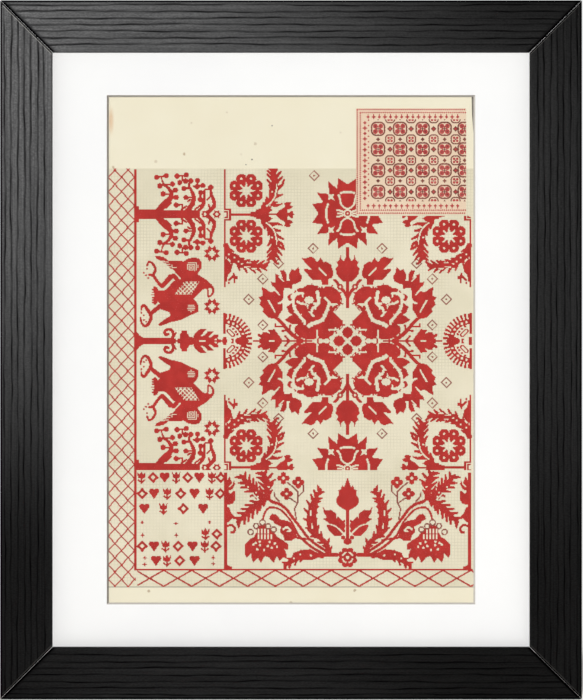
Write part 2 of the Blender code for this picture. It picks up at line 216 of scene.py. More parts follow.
class EffectShelf:
    """Builds each shared effect once, as a node group."""

    def __init__(self) -> None:
        """Starts with nothing built."""
        self.built: dict[Effect, bpy.types.NodeTree] = {}

    def get(self, effect: Effect) -> bpy.types.NodeTree:
        """The group of one effect.

        Args:
            effect: Which effect.

        Returns:
            Its node group, built on the first call.
        """
        if effect not in self.built:
            makers = {Effect.STREAKS: self.streaks, Effect.WEAVE: self.weave,
                      Effect.SOIL: self.soil, Effect.WORN_EDGE: self.worn_edge}
            self.built[effect] = makers[effect](effect.value)
        return self.built[effect]

    def start(self, name: str, inputs: dict[str, float | None],
            outputs: Iterable[str]) -> tuple[Recipe, dict]:
        """Starts a group with its sockets.

        Args:
            name: The group's name.
            inputs: A number for each value input, or None for a vector.
            outputs: The names of its value outputs.

        Returns:
            The group's recipe, and its input sockets by name.
        """
        tree = bpy.data.node_groups.new(name, "ShaderNodeTree")
        for label, value in inputs.items():
            kind = "NodeSocketVector" if value is None else "NodeSocketFloat"
            socket = tree.interface.new_socket(label, in_out="INPUT", socket_type=kind)
            if value is not None:
                socket.default_value = value
        for label in outputs:
            tree.interface.new_socket(label, in_out="OUTPUT", socket_type="NodeSocketFloat")
        entry = tree.nodes.new("NodeGroupInput")
        return Recipe(tree), {label: entry.outputs[label] for label in inputs}

    def finish(self, recipe: Recipe, outputs: dict[str, bpy.types.NodeSocket]) -> bpy.types.NodeTree:
        """Joins a group's results to its outputs.

        Args:
            recipe: The group's recipe.
            outputs: The socket for each output, by name.

        Returns:
            The finished group.
        """
        end = recipe.tree.nodes.new("NodeGroupOutput")
        for label, socket in outputs.items():
            recipe.tree.links.new(socket, end.inputs[label])
        return recipe.tree

    def streaks(self, name: str) -> bpy.types.NodeTree:
        """Fine lines along X with broad soft bands under them.

        Args:
            name: The group's name.

        Returns:
            The group.
        """
        recipe, given = self.start(name, {"Vector": None, "Scale": 900.0}, ("Fine", "Broad"))
        along = recipe.node("VectorMath", {0: given["Vector"], 1: (0.012, 1.0, 1.0)},
            operation="MULTIPLY").outputs[0]
        fine = recipe.node("TexNoise", {"Vector": along, "Scale": given["Scale"], "Detail": 4.0,
            "Roughness": 0.62})
        eighth = recipe.math("MULTIPLY", given["Scale"], 0.13)
        broad = recipe.node("TexNoise", {"Vector": along, "Scale": eighth, "Detail": 2.0, "Roughness": 0.5})
        return self.finish(recipe, {"Fine": fine.outputs[0], "Broad": broad.outputs[0]})

    def weave(self, name: str) -> bpy.types.NodeTree:
        """Plain weave: threads that pass over and under each other in X and Z.

        Args:
            name: The group's name.

        Returns:
            The group.
        """
        recipe, given = self.start(name, {"Vector": None, "Pitch": 0.0014}, ("Thread", "Height"))
        turns = recipe.math("DIVIDE", 2 * math.pi, given["Pitch"])
        axes = recipe.node("SeparateXYZ", {0: given["Vector"]}).outputs
        waves = [recipe.math("SINE", recipe.math("MULTIPLY", axes[i], turns)) for i in (0, 2)]
        ribs = [recipe.math("ABSOLUTE", wave) for wave in waves]
        over = recipe.math("MULTIPLY", waves[0], waves[1])
        height = recipe.math("ADD", recipe.math("MULTIPLY", over, 0.5),
            recipe.math("MAXIMUM", ribs[0], ribs[1]))
        thread = recipe.ramp(recipe.math("MINIMUM", ribs[0], ribs[1]), 0.0, 0.5)
        return self.finish(recipe, {"Thread": thread, "Height": height})

    def soil(self, name: str) -> bpy.types.NodeTree:
        """Soft patches with a few small specks.

        Args:
            name: The group's name.

        Returns:
            The group.
        """
        recipe, given = self.start(name, {"Vector": None, "Scale": 12.0, "Specks": 260.0},
            ("Patch", "Speck"))
        patch = recipe.node("TexNoise", {"Vector": given["Vector"], "Scale": given["Scale"], "Detail": 5.0,
            "Roughness": 0.6})
        cells = recipe.node("TexVoronoi", {"Vector": given["Vector"], "Scale": given["Specks"]},
            feature="F1")
        chosen = recipe.ramp(recipe.node("SeparateColor", {0: cells.outputs["Color"]}).outputs[0], 0.965,
            0.985)
        dot = recipe.ramp(cells.outputs["Distance"], 0.30, 0.16)
        return self.finish(recipe, {"Patch": patch.outputs[0], "Speck": recipe.math("MULTIPLY", chosen,
            dot)})

    def worn_edge(self, name: str) -> bpy.types.NodeTree:
        """A mask of the outer edges, broken up by noise.

        Args:
            name: The group's name.

        Returns:
            The group.
        """
        recipe, given = self.start(name, {"Vector": None, "Width": 0.0006, "Breaks": 160.0}, ("Edge",))
        soft = recipe.node("Bevel", {"Radius": given["Width"]}, samples=4).outputs[0]
        sharp = recipe.node("NewGeometry").outputs["Normal"]
        facing = recipe.node("VectorMath", {0: soft, 1: sharp}, operation="DOT_PRODUCT").outputs["Value"]
        edge = recipe.ramp(facing, 0.985, 0.80)
        broken = recipe.node("TexNoise", {"Vector": given["Vector"], "Scale": given["Breaks"],
            "Detail": 3.0}).outputs[0]
        return self.finish(recipe, {"Edge": recipe.math("MULTIPLY", edge, recipe.ramp(broken, 0.42, 0.62))})


EFFECTS = EffectShelf()


class Run(Enum):
    """The way a rail's grain runs: the turn that brings it onto X."""

    LEVEL = 0.0
    UPRIGHT = math.pi / 2


@dataclass(frozen=True)
class Finish:
    """What all the finishes share: a name and the making of the shader."""

    name: str

    def material(self) -> bpy.types.Material:
        """Makes the finish's material on the first call.

        Returns:
            The material.
        """
        kept = bpy.data.materials.get(self.name)
        if kept:
            return kept
        made = bpy.data.materials.new(self.name)
        made.use_nodes = True
        self.mix_in(Recipe(made.node_tree))
        return made

    def mix_in(self, recipe: Recipe) -> None:
        """Joins the finish's nodes to the shader.

        Args:
            recipe: Where the nodes are placed.
        """
        raise NotImplementedError

    def feed(self, recipe: Recipe, colour: Value, rough: Value, height: Value | None = None,
             depth: float = 0.0001, strength: float = 0.6, specular: float = 0.5) -> None:
        """Feeds the shader's colour, roughness and bump.

        Args:
            recipe: Where the nodes are placed.
            colour: The base colour.
            rough: The roughness.
            height: The bump's height, from 0 to 1, or None for no bump.
            depth: What a height of 1 stands for, in metres.
            strength: How far the bump tilts the surface.
            specular: The strength of the gloss.
        """
        wanted: dict[str | int, Value] = {"Base Color": colour, "Roughness": rough,
                                          "Specular IOR Level": specular}
        if height is not None:
            bump = recipe.node("Bump", {"Height": height, "Distance": depth, "Strength": strength})
            wanted["Normal"] = bump.outputs[0]
        recipe.join(recipe.shader, wanted)


@dataclass(frozen=True)
class StainedWood(Finish):
    """Black-stained open-pored wood with its grain along the rail, with painted shade in the mitre seams
    and on the rounded outer edge, and a painted highlight beside the uprights' mitres.
    """

    run: Run = Run.LEVEL
    dark: Card = (8, 8, 9)
    pale: Card = (33, 33, 33)

    def mix_in(self, recipe: Recipe) -> None:
        """Joins the finish's nodes to the shader.

        Args:
            recipe: Where the nodes are placed.
        """
        vector = recipe.place(turn=self.run.value)
        lines = recipe.effect(Effect.STREAKS, {"Vector": vector, "Scale": 1150.0})
        wear = recipe.effect(Effect.WORN_EDGE, {"Vector": vector, "Width": 0.0007})
        valley = recipe.node("Attribute", attribute_name="valley").outputs["Fac"]
        grit = recipe.noise(recipe.place((0.3, 1.0, 1.0), self.run.value), 1500.0, 3.0, 0.7)
        parts = ((lines.outputs["Fine"], 0.36), (lines.outputs["Broad"], 0.1), (grit, 0.54))
        shares = [recipe.math("MULTIPLY", part, share) for part, share in parts]
        tone = recipe.ramp(recipe.math("ADD", recipe.math("ADD", shares[0], shares[1]), shares[2]), 0.32,
            0.68)
        colour = recipe.mix(tone, paint(*self.dark), paint(*self.pale))
        colour = recipe.mix(recipe.math("MULTIPLY", wear.outputs["Edge"], 0.35), colour, paint(84, 80, 74))
        # Near black where the mask is above zero: the open grain lines as the wood's own colour, and the
        # mitre seams and rounded outer edge as painted shade.
        sunk = recipe.math("MAXIMUM", valley, 0.0)
        # Pale where the mask is below zero: a painted highlight beside the uprights' mitres, where the
        # arris would catch the light.
        painted_arris_highlight = recipe.math("MAXIMUM", recipe.math("MULTIPLY", valley, -0.8), 0.0)
        colour = recipe.mix(recipe.math("MULTIPLY", sunk, 0.97), colour, paint(2, 2, 3))
        colour = recipe.mix(painted_arris_highlight, colour, paint(96, 94, 90))
        rough = recipe.math("ADD", recipe.ramp(tone, 0.0, 1.0, 0.62, 0.46),
            recipe.math("MULTIPLY", sunk, 0.5))
        self.feed(recipe, colour, rough, tone, 0.00012, 0.55, 0.14)
        # Metallic over the near black takes the gloss off the seams and deepest grain lines, so the painted
        # shade stays dark under the sheen lamps.
        recipe.join(recipe.shader, {"Metallic": recipe.ramp(sunk, 0.55, 1.0, 0.0, 0.9)})


@dataclass(frozen=True)
class RawWood(Finish):
    """Bare pale wood with its grain along the rail, where the stain stops."""

    run: Run = Run.LEVEL

    def mix_in(self, recipe: Recipe) -> None:
        """Joins the finish's nodes to the shader.

        Args:
            recipe: Where the nodes are placed.
        """
        vector = recipe.place(turn=self.run.value)
        lines = recipe.effect(Effect.STREAKS, {"Vector": vector, "Scale": 900.0})
        soil = recipe.effect(Effect.SOIL, {"Vector": vector, "Scale": 14.0, "Specks": 150.0})
        tone = recipe.ramp(recipe.math("ADD", recipe.math("MULTIPLY", lines.outputs["Fine"], 0.5),
                                       recipe.math("MULTIPLY", lines.outputs["Broad"], 0.5)), 0.36, 0.66)
        colour = recipe.mix(tone, paint(176, 134, 92), paint(214, 180, 138))
        colour = recipe.mix(recipe.ramp(soil.outputs["Patch"], 0.5, 0.8, 0.0, 0.3), colour,
            paint(128, 98, 70))
        self.feed(recipe, colour, recipe.ramp(tone, 0.0, 1.0, 0.72, 0.6), tone, 0.0001, 0.4)


@dataclass(frozen=True)
class MatPaper(Finish):
    """The mat's smooth white face."""

    def mix_in(self, recipe: Recipe) -> None:
        """Joins the finish's nodes to the shader.

        Args:
            recipe: Where the nodes are placed.
        """
        vector = recipe.place()
        tooth = recipe.noise(vector, 1900.0, 4.0, 0.6)
        soil = recipe.effect(Effect.SOIL, {"Vector": vector, "Scale": 7.0, "Specks": 210.0})
        colour = recipe.mix(recipe.ramp(soil.outputs["Patch"], 0.35, 0.7), paint(251, 251, 250),
            paint(248, 248, 248))
        colour = recipe.mix(recipe.math("MULTIPLY", tooth, 0.25), colour, paint(245, 245, 244))
        self.feed(recipe, colour, recipe.ramp(tooth, 0.3, 0.7, 0.86, 0.94), tooth, 0.00004, 0.25, 0.25)


@dataclass(frozen=True)
class MatCore(Finish):
    """The mat's cut edge: pressed grey-cream fibre."""

    def mix_in(self, recipe: Recipe) -> None:
        """Joins the finish's nodes to the shader.

        Args:
            recipe: Where the nodes are placed.
        """
        vector = recipe.place()
        fibre = recipe.noise(vector, 2600.0, 4.0, 0.65)
        plies = recipe.node("SeparateXYZ", {0: vector}).outputs[1]
        layers = recipe.math("SINE", recipe.math("MULTIPLY", plies, 2 * math.pi / 0.0005))
        tone = recipe.math("ADD", recipe.math("MULTIPLY", fibre, 0.8),
            recipe.math("MULTIPLY", layers, 0.08))
        colour = recipe.mix(recipe.ramp(tone, 0.25, 0.65), paint(178, 173, 165), paint(198, 193, 187))
        self.feed(recipe, colour, 0.92, fibre, 0.00006, 0.4, 0.2)


@dataclass(frozen=True)
class Paper(Finish):
    """Cream print paper, with foxing and an orange stain at its upper left."""

    stain_at: Triple = (-0.1535, -0.0124, 0.195)

    def mix_in(self, recipe: Recipe) -> None:
        """Joins the finish's nodes to the shader.

        Args:
            recipe: Where the nodes are placed.
        """
        vector = recipe.place()
        soil = recipe.effect(Effect.SOIL, {"Vector": vector, "Scale": 22.0, "Specks": 165.0})
        fibre = recipe.noise(vector, 1500.0, 4.0, 0.6)
        colour = recipe.mix(recipe.ramp(soil.outputs["Patch"], 0.3, 0.7), paint(239, 232, 208),
            paint(236, 228, 202))
        colour = recipe.mix(recipe.math("MULTIPLY", fibre, 0.3), colour, paint(232, 225, 199))
        away = recipe.node("VectorMath", {0: vector, 1: self.stain_at}, operation="SUBTRACT").outputs[0]
        away = recipe.node("VectorMath", {0: away, 1: (1.0, 1.0, 0.22)}, operation="MULTIPLY").outputs[0]
        reach = recipe.node("VectorMath", {0: away}, operation="LENGTH").outputs["Value"]
        stain = recipe.math("MULTIPLY", recipe.ramp(reach, 0.0034, 0.0004),
            recipe.ramp(fibre, 0.3, 0.7, 0.5, 1.0))
        colour = recipe.mix(recipe.math("MULTIPLY", stain, 0.6), colour, paint(214, 150, 88))
        colour = recipe.mix(recipe.math("MULTIPLY", soil.outputs["Speck"], 0.7), colour,
            paint(176, 150, 116))
        self.feed(recipe, colour, recipe.ramp(fibre, 0.3, 0.7, 0.7, 0.85), fibre, 0.00004, 0.3, 0.3)


@dataclass(frozen=True)
class ClothGround(Finish):
    """The print's undyed cloth: a pale ground with a fine weave."""

    light: Card = (231, 223, 198)
    shade: Card = (221, 213, 186)
    thread: Card = (188, 178, 150)
    pitch: float = 0.00547
    strength: float = 0.5

    def mix_in(self, recipe: Recipe) -> None:
        """Joins the finish's nodes to the shader.

        Args:
            recipe: Where the nodes are placed.
        """
        vector = recipe.place()
        soil = recipe.effect(Effect.SOIL, {"Vector": vector, "Scale": 16.0, "Specks": 420.0})
        cloth = recipe.effect(Effect.WEAVE, {"Vector": vector, "Pitch": self.pitch})
        colour = recipe.mix(recipe.ramp(soil.outputs["Patch"], 0.32, 0.66), paint(*self.light),
            paint(*self.shade))
        seen = recipe.ramp(recipe.noise(vector, 26.0, 3.0, 0.6), 0.35, 0.7, 0.15, 1.0)
        gap = recipe.math("SUBTRACT", 1.0, cloth.outputs["Thread"])
        share = recipe.math("MULTIPLY", recipe.math("MULTIPLY", gap, seen), self.strength)
        colour = recipe.mix(share, colour, paint(*self.thread))
        self.feed(recipe, colour, recipe.ramp(cloth.outputs["Thread"], 0.0, 1.0, 0.9, 0.75),
                  cloth.outputs["Height"], 0.00003, 0.35, 0.3)


@dataclass(frozen=True)
class Ink(Finish):
    """Printed ink that shows the weave and varies in strength."""

    strong: Card = (168, 35, 30)
    faint: Card = (184, 43, 37)
    gap: Card = (198, 86, 74)
    pitch: float = 0.00274

    def mix_in(self, recipe: Recipe) -> None:
        """Joins the finish's nodes to the shader.

        Args:
            recipe: Where the nodes are placed.
        """
        vector = recipe.place()
        cloth = recipe.effect(Effect.WEAVE, {"Vector": vector, "Pitch": self.pitch})
        cloud = recipe.noise(vector, 75.0, 4.0, 0.6)
        grit = recipe.noise(vector, 1400.0, 3.0, 0.6)
        colour = recipe.mix(recipe.ramp(cloud, 0.36, 0.66), paint(*self.strong), paint(*self.faint))
        missed = recipe.math("MULTIPLY", recipe.math("SUBTRACT", 1.0, cloth.outputs["Thread"]),
            recipe.ramp(grit, 0.4, 0.75, 0.0, 0.55))
        colour = recipe.mix(missed, colour, paint(*self.gap))
        self.feed(recipe, colour, recipe.ramp(grit, 0.3, 0.7, 0.62, 0.8), cloth.outputs["Height"], 0.00002,
            0.3, 0.3)


@dataclass(frozen=True)
class ClearGlass(Finish):
    """Thin clear glazing with a few faint smears."""

    def mix_in(self, recipe: Recipe) -> None:
        """Joins the finish's nodes to the shader.

        Args:
            recipe: Where the nodes are placed.
        """
        smear = recipe.noise(recipe.place((1.0, 1.0, 2.4)), 9.0, 4.0, 0.6)
        self.feed(recipe, paint(30, 38, 35), recipe.ramp(smear, 0.4, 0.75, 0.02, 0.07))
        recipe.join(recipe.shader, {"Alpha": 0.03, "IOR": 1.5})


@dataclass(frozen=True)
class PressedBoard(Finish):
    """Board with a fibrous face: brown hardboard, or a white foam board's paper."""

    light: Card = (172, 134, 96)
    dark: Card = (124, 90, 60)
    fibres: float = 420.0
    relief: float = 0.00015

    def mix_in(self, recipe: Recipe) -> None:
        """Joins the finish's nodes to the shader.

        Args:
            recipe: Where the nodes are placed.
        """
        vector = recipe.place()
        level = recipe.noise(recipe.place((0.25, 1.0, 1.0), 0.5), self.fibres, 4.0, 0.65)
        cross = recipe.noise(recipe.place((0.25, 1.0, 1.0), -0.9), self.fibres * 1.3, 4.0, 0.65)
        soil = recipe.effect(Effect.SOIL, {"Vector": vector, "Scale": 9.0, "Specks": 120.0})
        tone = recipe.ramp(recipe.math("MAXIMUM", level, cross), 0.42, 0.72)
        colour = recipe.mix(tone, paint(*self.dark), paint(*self.light))
        colour = recipe.mix(recipe.ramp(soil.outputs["Patch"], 0.35, 0.8, 0.0, 0.35), colour,
            paint(*self.dark))
        self.feed(recipe, colour, recipe.ramp(tone, 0.0, 1.0, 0.85, 0.65), tone, self.relief, 0.6)


@dataclass(frozen=True)
class LinenTape(Finish):
    """Gummed white linen tape."""

    def mix_in(self, recipe: Recipe) -> None:
        """Joins the finish's nodes to the shader.

        Args:
            recipe: Where the nodes are placed.
        """
        vector = recipe.place()
        cloth = recipe.effect(Effect.WEAVE, {"Vector": vector, "Pitch": 0.0009})
        colour = recipe.mix(cloth.outputs["Thread"], paint(196, 190, 176), paint(240, 236, 226))
        self.feed(recipe, colour, 0.85, cloth.outputs["Height"], 0.00008, 0.6)


@dataclass(frozen=True)
class ZincSteel(Finish):
    """Zinc-plated steel with a mottled sheen and brushed lines."""

    def mix_in(self, recipe: Recipe) -> None:
        """Joins the finish's nodes to the shader.

        Args:
            recipe: Where the nodes are placed.
        """
        vector = recipe.place()
        lines = recipe.effect(Effect.STREAKS, {"Vector": vector, "Scale": 2600.0})
        wear = recipe.effect(Effect.WORN_EDGE, {"Vector": vector, "Width": 0.0003, "Breaks": 700.0})
        bloom = recipe.ramp(recipe.noise(vector, 330.0, 4.0, 0.6), 0.35, 0.7)
        colour = recipe.mix(bloom, paint(186, 188, 190), paint(152, 154, 156))
        colour = recipe.mix(recipe.math("MULTIPLY", wear.outputs["Edge"], 0.6), colour,
            paint(222, 222, 220))
        rough = recipe.math("ADD", recipe.ramp(bloom, 0.0, 1.0, 0.26, 0.42),
            recipe.math("MULTIPLY", lines.outputs["Fine"], 0.12))
        self.feed(recipe, colour, rough, lines.outputs["Fine"], 0.00002, 0.3)
        recipe.join(recipe.shader, {"Metallic": 1.0})


@dataclass(frozen=True)
class DarkRubber(Finish):
    """Soft dark rubber with dust in its skin."""

    def mix_in(self, recipe: Recipe) -> None:
        """Joins the finish's nodes to the shader.

        Args:
            recipe: Where the nodes are placed.
        """
        vector = recipe.place()
        soil = recipe.effect(Effect.SOIL, {"Vector": vector, "Scale": 260.0, "Specks": 1500.0})
        skin = recipe.noise(vector, 2400.0, 3.0, 0.6)
        colour = recipe.mix(recipe.ramp(soil.outputs["Patch"], 0.4, 0.75), paint(26, 26, 27),
            paint(58, 56, 54))
        self.feed(recipe, colour, recipe.ramp(skin, 0.3, 0.7, 0.62, 0.8), skin, 0.00005, 0.5)


@dataclass(frozen=True)
class PaleFloor(Finish):
    """The plain pale floor."""

    def mix_in(self, recipe: Recipe) -> None:
        """Joins the finish's nodes to the shader.

        Args:
            recipe: Where the nodes are placed.
        """
        cloud = recipe.noise(recipe.place(), 3.0, 3.0, 0.5)
        self.feed(recipe, recipe.mix(cloud, paint(236, 235, 233), paint(230, 229, 227)), 0.8)


MAT_PAPER = MatPaper("White mat paper")
MAT_CORE = MatCore("Mat core")
PAPER = Paper("Print paper")
CLOTH = ClothGround("Cloth ground")
INSET_CLOTH = ClothGround("Inset ground", (236, 214, 188), (228, 204, 176), (216, 182, 156), 0.00274, 0.4)
RED_INK = Ink("Red ink")
BROWN_INK = Ink("Brown ink", (132, 62, 54), (154, 84, 70), (180, 128, 106))
# This ink also makes the painted shadow beside the window's right edge.
LINE_INK_AND_PAINTED_SHADOW = Ink("Plate line ink", (92, 86, 80), (120, 112, 102), (160, 150, 134))
GLASS = ClearGlass("Clear glass")
HARDBOARD = PressedBoard("Hardboard")
FOAM_BOARD = PressedBoard("Foam board", (244, 243, 238), (232, 231, 226), 700.0, 0.00003)
LINEN = LinenTape("Linen tape")
ZINC = ZincSteel("Zinc steel")
RUBBER = DarkRubber("Dark rubber")
WOOD_LEVEL = StainedWood("Stained wood, level grain")
WOOD_UPRIGHT = StainedWood("Stained wood, upright grain", Run.UPRIGHT)
RAW_LEVEL = RawWood("Raw wood, level grain")
RAW_UPRIGHT = RawWood("Raw wood, upright grain", Run.UPRIGHT)
INSET_INK = Ink("Inset ink", (176, 50, 54), (192, 84, 80), (212, 134, 118), 0.00274)
INSET_LINE = Ink("Inset line ink", (112, 52, 44), (140, 78, 66), (172, 118, 98), 0.00274)


# --- mesh helpers -----------------------------------------------------------------------------


def to_piece(bm: bmesh.types.BMesh, name: str, finishes: Sequence[Finish], body: str,
             replaced: Sequence[str] = (), smooth: float = 35.0) -> bpy.types.Object:
    """Turns a finished bmesh into a piece of the object.

    Args:
        bm: The mesh, in the shared frame. It is freed.
        name: The piece's name.
        finishes: The finishes of its material slots.
        body: The body that it rides on.
        replaced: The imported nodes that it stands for.
        smooth: The largest angle, in degrees, that is shaded smooth.

    Returns:
        The piece.
    """
    mesh = bpy.data.meshes.new(name)
    bm.to_mesh(mesh)
    bm.free()
    mesh.shade_smooth()
    mesh.set_sharp_from_angle(angle=math.radians(smooth))
    piece = bpy.data.objects.new(name, mesh)
    bpy.context.scene.collection.objects.link(piece)
    for finish in finishes:
        mesh.materials.append(finish.material())
    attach(piece, body)
    if replaced:
        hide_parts(*replaced)
    LOG.info("%s: %d faces on %s", name, len(mesh.polygons), body)
    return piece


def dress(finish: Finish, *nodes: str) -> None:
    """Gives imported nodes, whose shape stays, a finish.

    Args:
        finish: The finish.
        *nodes: The nodes' names.
    """
    for name in nodes:
        slots = frame["nodes"][name].material_slots
        for held in slots:
            held.link = "OBJECT"
            held.material = finish.material()
        LOG.info("%s: dressed in %s", name, finish.name)


def outward(bm: bmesh.types.BMesh) -> None:
    """Merges doubles and points every face outwards."""
    bmesh.ops.remove_doubles(bm, verts=bm.verts[:], dist=1e-7)
    bmesh.ops.recalc_face_normals(bm, faces=bm.faces[:])


def slab(low: Triple, high: Triple) -> bmesh.types.BMesh:
    """A block between two corners.

    Args:
        low: Its lowest corner.
        high: Its highest corner.

    Returns:
        The block's bmesh.
    """
    bm = bmesh.new()
    size = Vector(high) - Vector(low)
    bmesh.ops.create_cube(bm, size=1.0)
    bmesh.ops.scale(bm, vec=size, verts=bm.verts[:])
    bmesh.ops.translate(bm, vec=(Vector(low) + Vector(high)) / 2, verts=bm.verts[:])
    return bm


# --- the woven pattern ------------------------------------------------------------------------


class Tone(Enum):
    """What a cell of a chart shows."""

    BLANK = 0
    RED = 1
    BROWN = 2


ALL_ROUND: tuple[Point, ...] = ((0.0, 360.0),)


def inside_outline(points: Sequence[Point], x: np.ndarray, y: np.ndarray) -> np.ndarray:
    """Tests cells against a closed outline.

    Args:
        points: The outline's corners.
        x: The cells' places across.
        y: The cells' places up.

    Returns:
        True where a level ray crosses the outline an odd number of times.
    """
    hit = np.zeros(x.shape, bool)
    for (ax, ay), (bx, by) in zip(points, (*points[1:], points[0])):
        if ay != by:
            hit ^= ((ay > y) != (by > y)) & (x < (bx - ax) * (y - ay) / (by - ay) + ax)
    return hit


def on_segment(start: Point, end: Point, halves: Point, x: np.ndarray, y: np.ndarray) -> np.ndarray:
    """Tests cells against a tapering stroke with round ends.

    Args:
        start: Where the stroke starts.
        end: Where it ends.
        halves: Its half width at each end.
        x: The cells' places across.
        y: The cells' places up.

    Returns:
        True on the stroke.
    """
    dx, dy = end[0] - start[0], end[1] - start[1]
    share = np.clip(((x - start[0]) * dx + (y - start[1]) * dy) / (dx * dx + dy * dy or 1.0), 0, 1)
    return np.hypot(x - start[0] - share * dx,
        y - start[1] - share * dy) <= halves[0] + (halves[1] - halves[0]) * share


def smooth_path(points: Sequence[Point], steps: int) -> list[Point]:
    """Points on the Catmull-Rom curve through the given points.

    Args:
        points: The points that the curve passes through.
        steps: Steps between each two of them.

    Returns:
        The curve's points, with the first and the last as given.
    """
    ends = [points[0], *points, points[-1]]
    made = []
    for span in zip(ends, ends[1:], ends[2:], ends[3:]):
        for t in np.arange(steps) / steps:
            pull = (-t + 2 * t**2 - t**3, 2 - 5 * t**2 + 3 * t**3, t + 4 * t**2 - 3 * t**3, t**3 - t**2)
            made.append(tuple(0.5 * sum(k * p[i] for k, p in zip(pull, span)) for i in (0, 1)))
    return [*made, tuple(points[-1])]


def polar(centre: Point, radius: float, angle: float) -> Point:
    """The point at a distance and an angle in degrees from a centre."""
    turned = math.radians(angle)
    return (centre[0] + radius * math.cos(turned), centre[1] + radius * math.sin(turned))


class Chart:
    """A weaving chart that is drawn on in stitches, x to the right and y up."""

    def __init__(self, width: float, height: float, parts: int) -> None:
        """Starts a blank chart.

        Args:
            width: Stitches across.
            height: Stitches up.
            parts: Cells to a stitch, each way.
        """
        self.width, self.height, self.parts = width, height, parts
        self.cells = np.zeros((round(height * parts), round(width * parts)), np.int8)

    def blank(self) -> Chart:
        """An empty chart of the same size."""
        return Chart(self.width, self.height, self.parts)

    def fill(self, low: Point, high: Point, inside: Callable[[np.ndarray, np.ndarray], np.ndarray],
             tone: Tone = Tone.RED) -> None:
        """Colours the cells of a window whose centres pass a test.

        Args:
            low: The window's lower left corner.
            high: Its upper right corner.
            inside: The test, on the cells' places across and up.
            tone: The colour.
        """
        rows, columns = self.cells.shape
        x0, y0 = (max(0, int(value * self.parts)) for value in low)
        x1, y1 = min(columns, int(high[0] * self.parts) + 1), min(rows, int(high[1] * self.parts) + 1)
        if x1 > x0 and y1 > y0:
            x, y = np.meshgrid((np.arange(x0, x1) + 0.5) / self.parts,
                (np.arange(y0, y1) + 0.5) / self.parts)
            self.cells[y0:y1, x0:x1][inside(x, y)] = tone.value

    def shape(self, points: Sequence[Point], tone: Tone = Tone.RED) -> None:
        """Fills a closed outline."""
        xs, ys = zip(*points)
        self.fill((min(xs), min(ys)), (max(xs), max(ys)), lambda x, y: inside_outline(points, x, y), tone)

    def box(self, low: Point, high: Point, tone: Tone = Tone.RED) -> None:
        """Fills an upright rectangle."""
        self.shape((low, (high[0], low[1]), high, (low[0], high[1])), tone)

    def disc(self, centre: Point, radius: float, tone: Tone = Tone.RED, squash: float = 1.0) -> None:
        """Fills a circle, or an ellipse whose height is squash times its width.

        Args:
            centre: Its middle.
            radius: Half its width.
            tone: The colour.
            squash: Its height for a width of 1.
        """
        (cx, cy), tall = centre, radius * squash
        self.fill((cx - radius, cy - tall), (cx + radius, cy + tall),
                  lambda x, y: ((x - cx) / radius) ** 2 + ((y - cy) / tall) ** 2 <= 1, tone)

    def discs(self, centres: Sequence[Point], radius: float, tone: Tone = Tone.RED) -> None:
        """Fills circles of one size."""
        for centre in centres:
            self.disc(centre, radius, tone)

    def ring(self, centre: Point, radius: float, width: float, tone: Tone = Tone.RED,
             spans: Sequence[Point] = ALL_ROUND) -> None:
        """Draws a circle's line, or only some stretches of it.

        Args:
            centre: The circle's middle.
            radius: Its radius.
            width: The line's width.
            tone: The colour.
            spans: The start and end of each stretch, in degrees.
        """
        for start, end in spans:
            steps = max(6, round(radius * (end - start) / 40))
            self.line([polar(centre, radius, start + (end - start) * i / steps) for i in range(steps + 1)],
                width, tone=tone)

    def line(self, points: Sequence[Point], width: float, end: float | None = None,
            tone: Tone = Tone.RED) -> None:
        """Draws a round-ended line whose width runs from width to end.

        Args:
            points: The line's corners.
            width: Its width at the start.
            end: Its width at the end, if that differs.
            tone: The colour.
        """
        halves = np.linspace(width, width if end is None else end, len(points)) / 2
        for a, b, start, stop in zip(points, points[1:], halves, halves[1:]):
            reach = max(start, stop) + 0.5
            self.fill((min(a[0], b[0]) - reach, min(a[1], b[1]) - reach),
                      (max(a[0], b[0]) + reach, max(a[1], b[1]) + reach),
                      lambda x, y: on_segment(a, b, (start, stop), x, y), tone)

    def curve(self, points: Sequence[Point], width: float, end: float | None = None,
            tone: Tone = Tone.RED) -> None:
        """Draws a line on the smooth curve through the points."""
        self.line(smooth_path(points, 6), width, end, tone)

    def toothed(self, points: Sequence[Point], width: float, end: float, tooth: float, pitch: float,
                tone: Tone = Tone.RED) -> None:
        """Draws a smooth line with short square teeth on alternate sides.

        Args:
            points: The points that it passes through.
            width: Its width at the start.
            end: Its width at the end.
            tooth: How far a tooth stands out.
            pitch: The distance from tooth to tooth.
            tone: The colour.
        """
        path = smooth_path(points, 6)
        self.line(path, width, end, tone)
        gone, side = 0.0, 1
        for (ax, ay), (bx, by) in zip(path, path[1:]):
            step = math.hypot(bx - ax, by - ay)
            gone += step
            if gone >= pitch and step:
                reach = side * (width / 2 + tooth) / step
                self.line([(bx, by), (bx - (by - ay) * reach, by + (bx - ax) * reach)], 0.9, tone=tone)
                gone, side = 0.0, -side

    def star(self, centre: Point, outer: float, inner: float, count: int, turn: float = 0.0,
            tone: Tone = Tone.RED) -> None:
        """Fills a star.

        Args:
            centre: Its middle.
            outer: The radius of its points.
            inner: The radius between them.
            count: How many points it has.
            turn: Where the first one is, in degrees.
            tone: The colour.
        """
        self.shape([polar(centre, inner if i % 2 else outer, turn + 180 * i / count)
            for i in range(2 * count)], tone)

